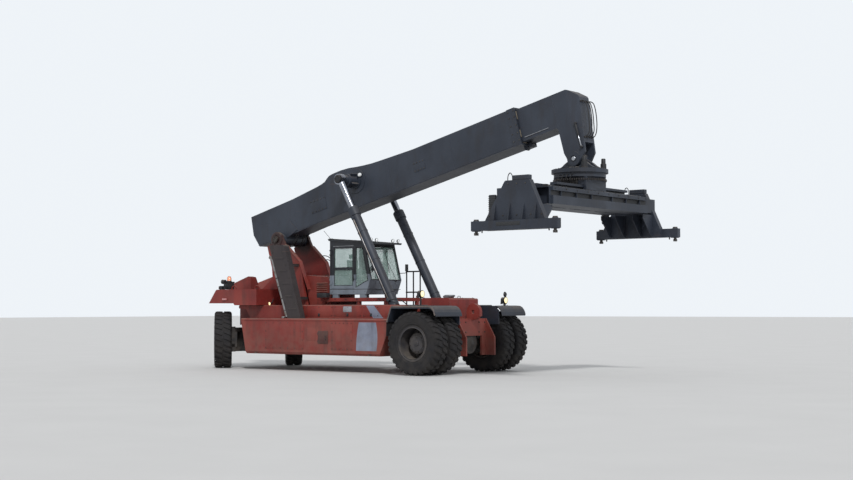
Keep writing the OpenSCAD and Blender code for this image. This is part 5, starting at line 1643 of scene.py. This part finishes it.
def boom_bolts():
    """Bolts round the side covers and round the boom's mouth"""
    heads = []
    for s in (-1, 1):
        places = []
        for (u0, u1), (v0, v1), _, count in BOOM_COVERS:
            places += [along_boom(u0 + 0.04 + (u1 - u0 - 0.08) * i / (count - 1), s * 0.358, v)
                       for i in range(count) for v in (v0 + 0.035, v1 - 0.035)]
        places += [along_boom(u, s * 0.3655, v) for u in (8.55, 8.72)
                   for v in (0.2, 0.4, 0.62, 0.84, 1.0)]
        heads.append(bolts(places, (0, s, 0), 0.014))
    heads.append(bolts([along_boom(8.63, y, 1.088) for y in (-0.26, -0.13, 0, 0.13, 0.26)],
                       tuple(BOOM_UP), 0.014))
    done(joined(heads), "boom_bolts", "boom", bolt_steel)


def boom_pads():
    """Sliding pads between the two booms, at the outer boom's mouth"""
    u = (8.68, 8.775)
    pads = []
    for s in (-1, 1):
        pads += [boom_block(u, sorted((s * 0.2915, s * 0.319)), v, 0.003)
                 for v in ((0.27, 0.47), (0.76, 0.98))]
        pads += [boom_block(u, sorted((s * 0.08, s * 0.25)), v, 0.003)
                 for v in ((0.1165, 0.1435), (1.0245, 1.039))]
    done(joined(pads), "boom_pads", "boom", pad_nylon)


def boom_pipes():
    """Steel pipes in clamps along the left side"""
    lines = [rod(along_boom(0.8, 0.378, v), along_boom(8.4, 0.378, v), 0.015, 0.003)
             for v in (0.305, 0.357, 0.41)]
    done(joined(lines), "boom_pipes", "boom", slate_paint)
    clamps = [boom_block((u - 0.03, u + 0.03), (0.349, 0.402), (0.275, 0.44), 0.006)
              for u in (0.95, 1.9, 2.65, 3.9, 4.8, 5.8, 6.8, 7.7, 8.35)]
    done(joined(clamps), "pipe_brackets", "boom", black_plastic)


def boom_lamp():
    """Work lamp and a port's cap on the right side"""
    housing, lens = lamp(at(-3.15, -0.45, 5.49), (0.75, -0.45, -0.5), 0.062, 0.06)
    arm = pipe([at(-3.24, -0.345, 5.52), at(-3.22, -0.40, 5.52), at(-3.19, -0.425, 5.51)], 0.012)
    cap = spun([(0.0005, 0.03), (0.035, 0.028), (0.042, 0.012), (0.042, 0.0), (0.0005, 0)],
               (0, -1, 0), at(-4.07, -0.349, 5.415), steps=28)
    done(joined(housing + [arm]), "boom_lamp_body", "boom", black_plastic)
    done(lens, "boom_lamp_lens", "boom", lamp_clear)
    done(cap, "boom_port_cap", "boom", step_plate)


def boom_rear():
    """End plate of the boom, and the hoses that loop below its rear"""
    cover = boom_block((-1.135, -1.12), (-0.27, 0.27), (0.30, 0.95), 0.006)
    done(cover, "boom_rear_cover", "boom", slate_paint)
    done(bolts([along_boom(-1.135, y, v) for y in (-0.23, 0, 0.23) for v in (0.34, 0.62, 0.91)],
               tuple(-BOOM_AHEAD), 0.014), "boom_rear_bolts", "boom", bolt_steel)
    for i, y in enumerate((-0.20, -0.12, 0.12, 0.20)):
        drop = 0.30 + 0.05 * (i % 2)
        hose(f"boom_hose_{i + 1}",
             [along_boom(0.42, y, 0.085), along_boom(0.40, y, -0.02), along_boom(0.30, y, -0.14),
              along_boom(0.10, y, -0.16 - drop * 0.2), along_boom(-0.12, y, -0.12),
              along_boom(-0.22, y, -0.01), along_boom(-0.235, y, 0.085)], 0.026, body="boom")


def trunnion_collars():
    for side, sign in SIDES:
        collar = moved(spun([(0.137, 0), (0.175, 0.004), (0.172, 0.05), (0.137, 0.06)],
                            (0, sign, 0), (TRUNNION_U, sign * 0.70, TRUNNION_V), steps=40), IN_BOOM)
        done(collar, f"trunnion_collar_{side}", "boom", slate_paint)


def cylinder_fittings():
    """Rings, ports, pipe, gland and wiper of each lift barrel, and its rod's upper pin"""
    axis = Vector((math.cos(LIFT_ANGLE), 0, math.sin(LIFT_ANGLE)))
    gland_u, eye_u = 3.264, 4.2138
    for side, sign in SIDES:
        barrel, rod_body = f"lift_barrel_{side}", f"lift_rod_{side}"
        out = (0, sign, 0)
        rings = [spun([(0.098, 0.002), (0.15, 0.002), (0.156, -0.006), (0.156, -0.02),
                       (0.098, -0.02)], axis, along_lift(sign, 3.262, 0, 0), steps=56)]
        rings += [spun([(0.1351, -0.012), (0.146, -0.008), (0.146, 0.008), (0.1351, 0.012)], axis,
                       along_lift(sign, u, 0, 0), steps=48) for u in (0.55, 1.6, 2.5)]
        port = block((-0.05, -0.035, -0.05), (0.05, 0.035, 0.05), 0.008)
        low_port = moved(copy_of(port), facing(along_lift(sign, 0.36, 0.155, 0), axis))
        high_port = moved(port, facing(along_lift(sign, 2.94, 0.155, 0), axis))
        done(joined(rings + [low_port, high_port]), f"barrel_rings_{side}", barrel,
             slate_paint)
        line = pipe([along_lift(sign, u, y, 0) for u, y in (
                         (0.42, 0.165), (0.6, 0.162), (2.6, 0.162), (2.9, 0.165))], 0.016, 3)
        done(line, f"barrel_pipe_{side}", barrel, pipe_steel)
        heads = ring_of(along_lift(sign, gland_u, 0, 0), axis, 0.128, 12)
        done(bolts(heads, tuple(axis), 0.012), f"gland_bolts_{side}", barrel,
             bolt_steel)
        wiper = spun([(0.0955, 0.0), (0.108, 0.0), (0.106, 0.012), (0.0955, 0.014)], axis,
                     along_lift(sign, gland_u, 0, 0), steps=48)
        done(wiper, f"rod_wiper_{side}", barrel, rubber_seal)
        upper = along_lift(sign, eye_u, 0.106, 0)
        cap = spun([(0.0005, 0.018), (0.11, 0.018), (0.118, 0.01), (0.118, 0.0), (0.0005, 0.0)],
                   out, upper, steps=44)
        done(cap, f"upper_pin_cap_{side}", rod_body, frame_black)
        heads = ring_of(upper + Vector((0, sign * 0.018, 0)), out, 0.08, 6)
        done(bolts(heads, out, 0.013), f"upper_pin_bolts_{side}", rod_body,
             bolt_steel)
        # Short hose from the frame to the port at the barrel's foot
        hose(f"lift_hose_{side}",
             [at(-1.02, sign * 0.80, 1.47), at(-1.01, sign * 0.82, 1.60),
              at(-1.03, sign * 0.92, 1.78), at(-1.12, sign * 1.06, 1.93),
              at(-1.26, sign * 1.155, 1.985), along_lift(sign, 0.36, 0.192, 0.052)],
             0.026, blend=("chassis", barrel))


def extension_fittings():
    """Pipe, tilt damper, collars and plate joints on the inner boom and its head"""
    line = pipe([along_boom(u, -0.3015, 0.235) for u in (8.86, 9.1, 9.4, 9.62)], 0.0105, 3)
    done(line, "extension_pipe", "boom_extension", bright_steel)
    top, low = at(3.96, -0.32, 6.09), at(4.05, -0.32, 5.78)
    done(rod(top, low, 0.016, 0.003), "damper_rod", "boom_extension", bright_steel)
    barrel = [rod(top + (top - low) * 0.9, top - (top - low) * 0.1, 0.026, 0.004),
              rod(top + (top - low) * 0.95 + Vector((0, 0.03, 0)),
                  top + (top - low) * 0.95 - Vector((0, 0.03, 0)), 0.034, 0.004),
              rod(low + Vector((0, 0.035, 0)), low - Vector((0, 0.03, 0)), 0.032, 0.004)]
    done(joined(barrel), "damper_barrel", "boom_extension", frame_black)
    collar = [spun([(0.08, 0), (0.19, 0), (0.186, 0.014), (0.08, 0.014)], (0, s, 0),
                   (TILT.x, s * 0.2903, TILT.z), steps=48) for s in (-1, 1)]
    seams = [boom_block((9.875, 9.89), (s * 0.291 - 0.003, s * 0.291 + 0.003), (0.16, 1.0), 0.002, 1)
             for s in (-1, 1)]
    done(joined(collar + seams), "head_collars", "boom_extension", slate_paint)


def free_hoses():
    """Hoses that hang down the front face of the boom's head, and loops on the left tower"""
    for i, y in enumerate((-0.20, -0.10, 0.02, 0.14)):
        out = 0.02 * (i % 2)
        hose(f"head_hose_{i + 1}",
             [along_boom(u, y, v) for u, v in (
                 (10.627, 0.62), (10.71, 0.61), (10.775 + out, 0.52), (10.785 + out, 0.30),
                 (10.745 + out, 0.02), (10.70, -0.18), (10.62, -0.285), (10.519, -0.30))],
             0.026, body="boom_extension")
    for i in range(2):
        rise = 0.12 * i
        hose(f"tower_hose_{i + 1}",
             [at(x, y, z) for x, y, z in (
                 (-5.37 - rise, 0.56, 3.14 + rise), (-5.27 - rise, 0.57, 3.17 + rise),
                 (-5.14 - rise * 0.6, 0.58, 3.12 + rise), (-5.00, 0.585, 2.97 + rise * 0.6),
                 (-4.95, 0.58, 2.80), (-4.98, 0.57, 2.67), (-5.06, 0.56, 2.605),
                 (-5.11, 0.56, 2.60))], 0.024, body="chassis")


boom_seams()
boom_bolts()
boom_pads()
boom_pipes()
boom_lamp()
boom_rear()
trunnion_collars()
cylinder_fittings()
extension_fittings()
free_hoses()


# Spreader and what hangs it

def turntable():
    """Bolts and slew motors on the turntable, and the ends of the pin that it tilts about"""
    heads = ring_of((TILT.x, 0, TILT.z - 0.27), (0, 0, 1), 0.665, 36, 0.06)
    done(bolts(heads, (0, 0, 1), 0.017), "turntable_bolts", "tilt_frame", bolt_steel)
    motors = [spun([(0.0005, 0.30), (0.045, 0.30), (0.055, 0.285), (0.058, 0.17), (0.075, 0.165),
                    (0.078, 0.02), (0.092, 0.015), (0.092, 0.0), (0.0005, 0.0)], (0, 0, 1),
                   from_pin(0.42, s * 0.46, -0.2705), steps=36) for s in (-1, 1)]
    done(joined(motors), "slew_motors", "tilt_frame", frame_black)
    pins = [spun([(0.0005, 0.03), (0.05, 0.03), (0.06, 0.02), (0.06, 0.0), (0.0005, 0.0)],
                 (0, s, 0), from_pin(0, s * 0.281, 0), steps=32) for s in (-1, 1)]
    done(joined(pins), "tilt_pin_ends", "tilt_frame", bright_steel)


def slew_ring():
    """Toothed ring under the turntable, the valve blocks beside it, and their hoses"""
    count = 72
    teeth = [moved(block((0.652, -0.016, -0.028), (0.682, 0.016, 0.028), 0.006, 1),
                   Matrix.Translation(from_pin(0, 0, -0.55)) @ Matrix.Rotation(turn, 4, "Z"))
             for turn in (math.tau * i / count for i in range(count))]
    done(joined(teeth), "slew_teeth", "rotator", grease)
    blocks = []
    for s in (-1, 1):
        blocks.append(box((-0.24, 0.24), (s * 0.4795, s * 0.508), (-0.675, -0.51), 0.008,
                          place=from_pin))
        blocks += [rod(from_pin(x, s * 0.505, -0.535), from_pin(x, s * 0.55, -0.535), 0.022, 0.004)
                   for x in (-0.12, 0.0, 0.12)]
    done(joined(blocks), "valve_blocks", "rotator", cast_iron)
    for side, s in SIDES:
        for i, x in enumerate((-0.18, -0.06, 0.06, 0.18)):
            rim_y = math.sqrt(0.66 ** 2 - x * x) - 0.002
            hose(f"slew_hose_{side}_{i + 1}",
                 [from_pin(x, s * y, -z) for y, z in (
                     (0.506, 0.62), (0.58, 0.622), (0.68, 0.612), (0.738, 0.565), (0.745, 0.50),
                     (0.712, 0.447), (rim_y, 0.43))], 0.017, body="rotator")


def sideshift_cylinder():
    z = -0.785
    barrel = [rod(from_pin(0, -1.55, z), from_pin(0, -0.35, z), 0.052, 0.006),
              rod(from_pin(0, -0.46, z), from_pin(0, -0.33, z), 0.06, 0.006),
              block(from_pin(-0.05, -1.66, -0.86), from_pin(0.05, -1.53, -0.73), 0.01)]
    done(joined(barrel), "sideshift_barrel", "spreader", frame_black)
    done(rod(from_pin(0, -0.40, z), from_pin(0, 0.40, z), 0.028, 0.004), "sideshift_rod",
         "spreader", rod_chrome)


def spreader_bands():
    """Pipes in clamps on the spreader's bands, and the ribs and bolts, with thin black sheets of
    painted shade in the bays between them
    """
    lines, clamps, ribs, heads = [], [], [], []
    for s in (-1, 1):
        lines += [pipe([from_pin(s * x, y, -0.842) for y in (-2.2, -1.0, 1.0, 2.2)], 0.012, 2)
                  for x in (0.44, 0.475, 0.51)]
        clamps += [box((s * 0.42, s * 0.53), (y - 0.025, y + 0.025), (-0.861, -0.822), 0.006,
                       place=from_pin)
                   for y in (-2.1, -1.5, -0.9, -0.3, 0.3, 0.9, 1.5, 2.1)]
        ribs += [box((s * 0.598, s * 0.66), (y - 0.01, y + 0.01), (-1.08, -0.95), 0.002, 1,
                     place=from_pin) for y in (-1.9, -1.2, -0.5, 0.5, 1.2, 1.9)]
        heads.append(bolts([from_pin(s * 0.6705, y, -0.905) for y in (
            -2.2, -1.7, -1.2, -0.7, -0.2, 0.3, 0.8, 1.3, 1.8, 2.2)], (s, 0, 0), 0.013))
    done(joined(lines), "spreader_pipes", "spreader", pipe_steel)
    done(joined(clamps), "spreader_clamps", "spreader", black_plastic)
    done(joined(ribs), "spreader_ribs", "spreader", slate_paint)
    # Thin black sheets on the faces between the ribs: painted shade of a recess
    bay_shade_sheets = [box((s * 0.598, s * 0.608), (-2.285, 2.285), (-1.073, -0.957), 0.002, 1,
                place=from_pin) for s in (-1, 1)]
    done(joined(bay_shade_sheets), "spreader_bay_shade", "spreader", frame_black)
    done(joined(heads), "spreader_bolts", "spreader", bolt_steel)


# Twistlocks' distances from the tilt pin, along the machine and across it
LOCK_X, LOCK_Y = 1.1295, 2.9265


def end_boxes(side, sign):
    """Box on the end beam's face, and the lock motor with its cooling ribs behind"""
    face = sign * 3.0018
    low, high = sorted((sign * 2.62, sign * 2.695))
    parts = [box((-0.50, 0.19), (face, face + sign * 0.006), (-1.80, -1.71), 0.003,
                 place=from_pin),
             box((-0.93, -0.73), (low, high), (-1.50, -1.02), 0.02, 3, place=from_pin)]
    parts += [box((-0.94, -0.72), (low - 0.004, high + 0.004),
                  (-1.46 + i * 0.05, -1.445 + i * 0.05), 0.004, 1, place=from_pin)
              for i in range(9)]
    done(joined(parts), f"end_boxes_{side}", f"end_beam_{side}", black_plastic)


def end_covers(side, sign):
    """Top cover, ribs, lock covers and corner guides of an end beam, and its landing pins"""
    face = sign * 3.0018
    low, high = sorted((sign * 2.70, sign * 2.845))
    covers = [box((-0.12, 0.34), (low, high), (-0.716, -0.60), 0.012, 3, place=from_pin),
              box((-0.10, 0.32), (low - 0.004, high + 0.004), (-0.69, -0.68), 0.003, 1,
                  place=from_pin)]
    pins = []
    for end in (-1, 1):
        x, y = TILT.x + end * LOCK_X, sign * LOCK_Y
        covers.append(spun([(0.062, 0.0), (0.115, 0.0), (0.11, -0.014), (0.062, -0.014)],
                           (0, 0, 1), (x, y, 3.5995), steps=36))
        pins.append(rod((x - end * 0.17, y, 3.60), (x - end * 0.17, y, 3.545), 0.016, 0.004))
        covers.append(slab([(x + end * 0.06, face, 3.83), (x + end * 0.109, face, 3.80),
                            (x + end * 0.109, face, 3.62), (x + end * 0.06, face, 3.60)],
                           (0, -sign * 0.008, 0), 0.002))
        covers.append(spun([(0.0005, 0.03), (0.05, 0.028), (0.075, 0.012), (0.078, 0.0),
                            (0.0005, 0.0)], (0, 0, 1), (x, y, 3.8299), steps=32))
    covers += [slab([from_pin(x, sign * 2.852, -1.665), from_pin(x, sign * 2.96, -1.665),
                     from_pin(x, sign * 2.853, -1.25)], (0.014, 0, 0), 0.002)
               for x in (-0.62, -0.2, 0.2, 0.55)]
    done(joined(covers), f"end_covers_{side}", f"end_beam_{side}", slate_paint)
    done(joined(pins), f"landing_pins_{side}", f"end_beam_{side}", bolt_steel)


def end_loops(side, sign):
    """Lifting loop on the top of an end beam, and bolts along its outer face"""
    y, face = sign * 2.77, sign * 2.8517
    loop = pipe([from_pin(x, y, z) for x, z in (
                     (-0.31, -0.72), (-0.30, -0.60), (-0.24, -0.53), (-0.18, -0.60),
                     (-0.17, -0.72))], 0.011)
    done(loop, f"end_loops_{side}", f"end_beam_{side}", frame_black)
    heads = [from_pin(x, face, -1.55) for x in (-0.8, -0.4, 0.0, 0.4, 0.7)]
    heads += [from_pin(x, face, -0.80) for x in (-0.25, 0.0, 0.25)]
    done(bolts(heads, (0, sign, 0), 0.014), f"end_bolts_{side}", f"end_beam_{side}",
         bolt_steel)


turntable()
slew_ring()
sideshift_cylinder()
spreader_bands()
for side, sign in SIDES:
    end_boxes(side, sign)
    end_covers(side, sign)
    end_loops(side, sign)


# Finishes of the parts that the CAD model brings

def give_finish(material, *names):
    for name in names:
        node = nodes[name]
        if not node.material_slots:
            node.data.materials.append(material)
        for place in node.material_slots:
            place.material = material


give_finish(red_paint, "main_frame", "lift_brackets", "front_housing", "counterweight",
            "engine_hood", "cab_rails")
give_finish(tower_paint, "boom_tower")
give_finish(tank_paint, "side_tanks")
give_finish(slate_paint, "front_fenders", "boom_outer", "boom_inner", "tilt_frame", "rotator",
            "spreader_frame", "end_beam_right", "end_beam_left", "lift_barrel_right",
            "lift_barrel_left")
give_finish(shield_paint, "exhaust_shield")
give_finish(frame_black, "handrail", "lamp_posts", "drive_axle", "steer_axle", "knuckle_right",
            "knuckle_left")
give_finish(rim_paint, "front_rims_right", "front_rims_left", "rear_rim_right", "rear_rim_left")
give_finish(cast_iron, "engine_block")
give_finish(pipe_steel, "exhaust_pipe")
give_finish(cab_paint, "cab_shell", "door_right", "door_left")
give_finish(cab_glass, "cab_glass", "door_right_glass", "door_left_glass")
give_finish(seat_fabric, "cab_seat")
give_finish(black_plastic, "cab_console")
give_finish(rod_chrome, "lift_rod_right", "lift_rod_left")
give_finish(bolt_steel, *(f"twistlock_{end}_{side}" for end in ("front", "rear")
                          for side, sign in SIDES))
give_finish(lamp_amber, "beacon")

bpy.context.scene.view_settings.view_transform = "Standard"
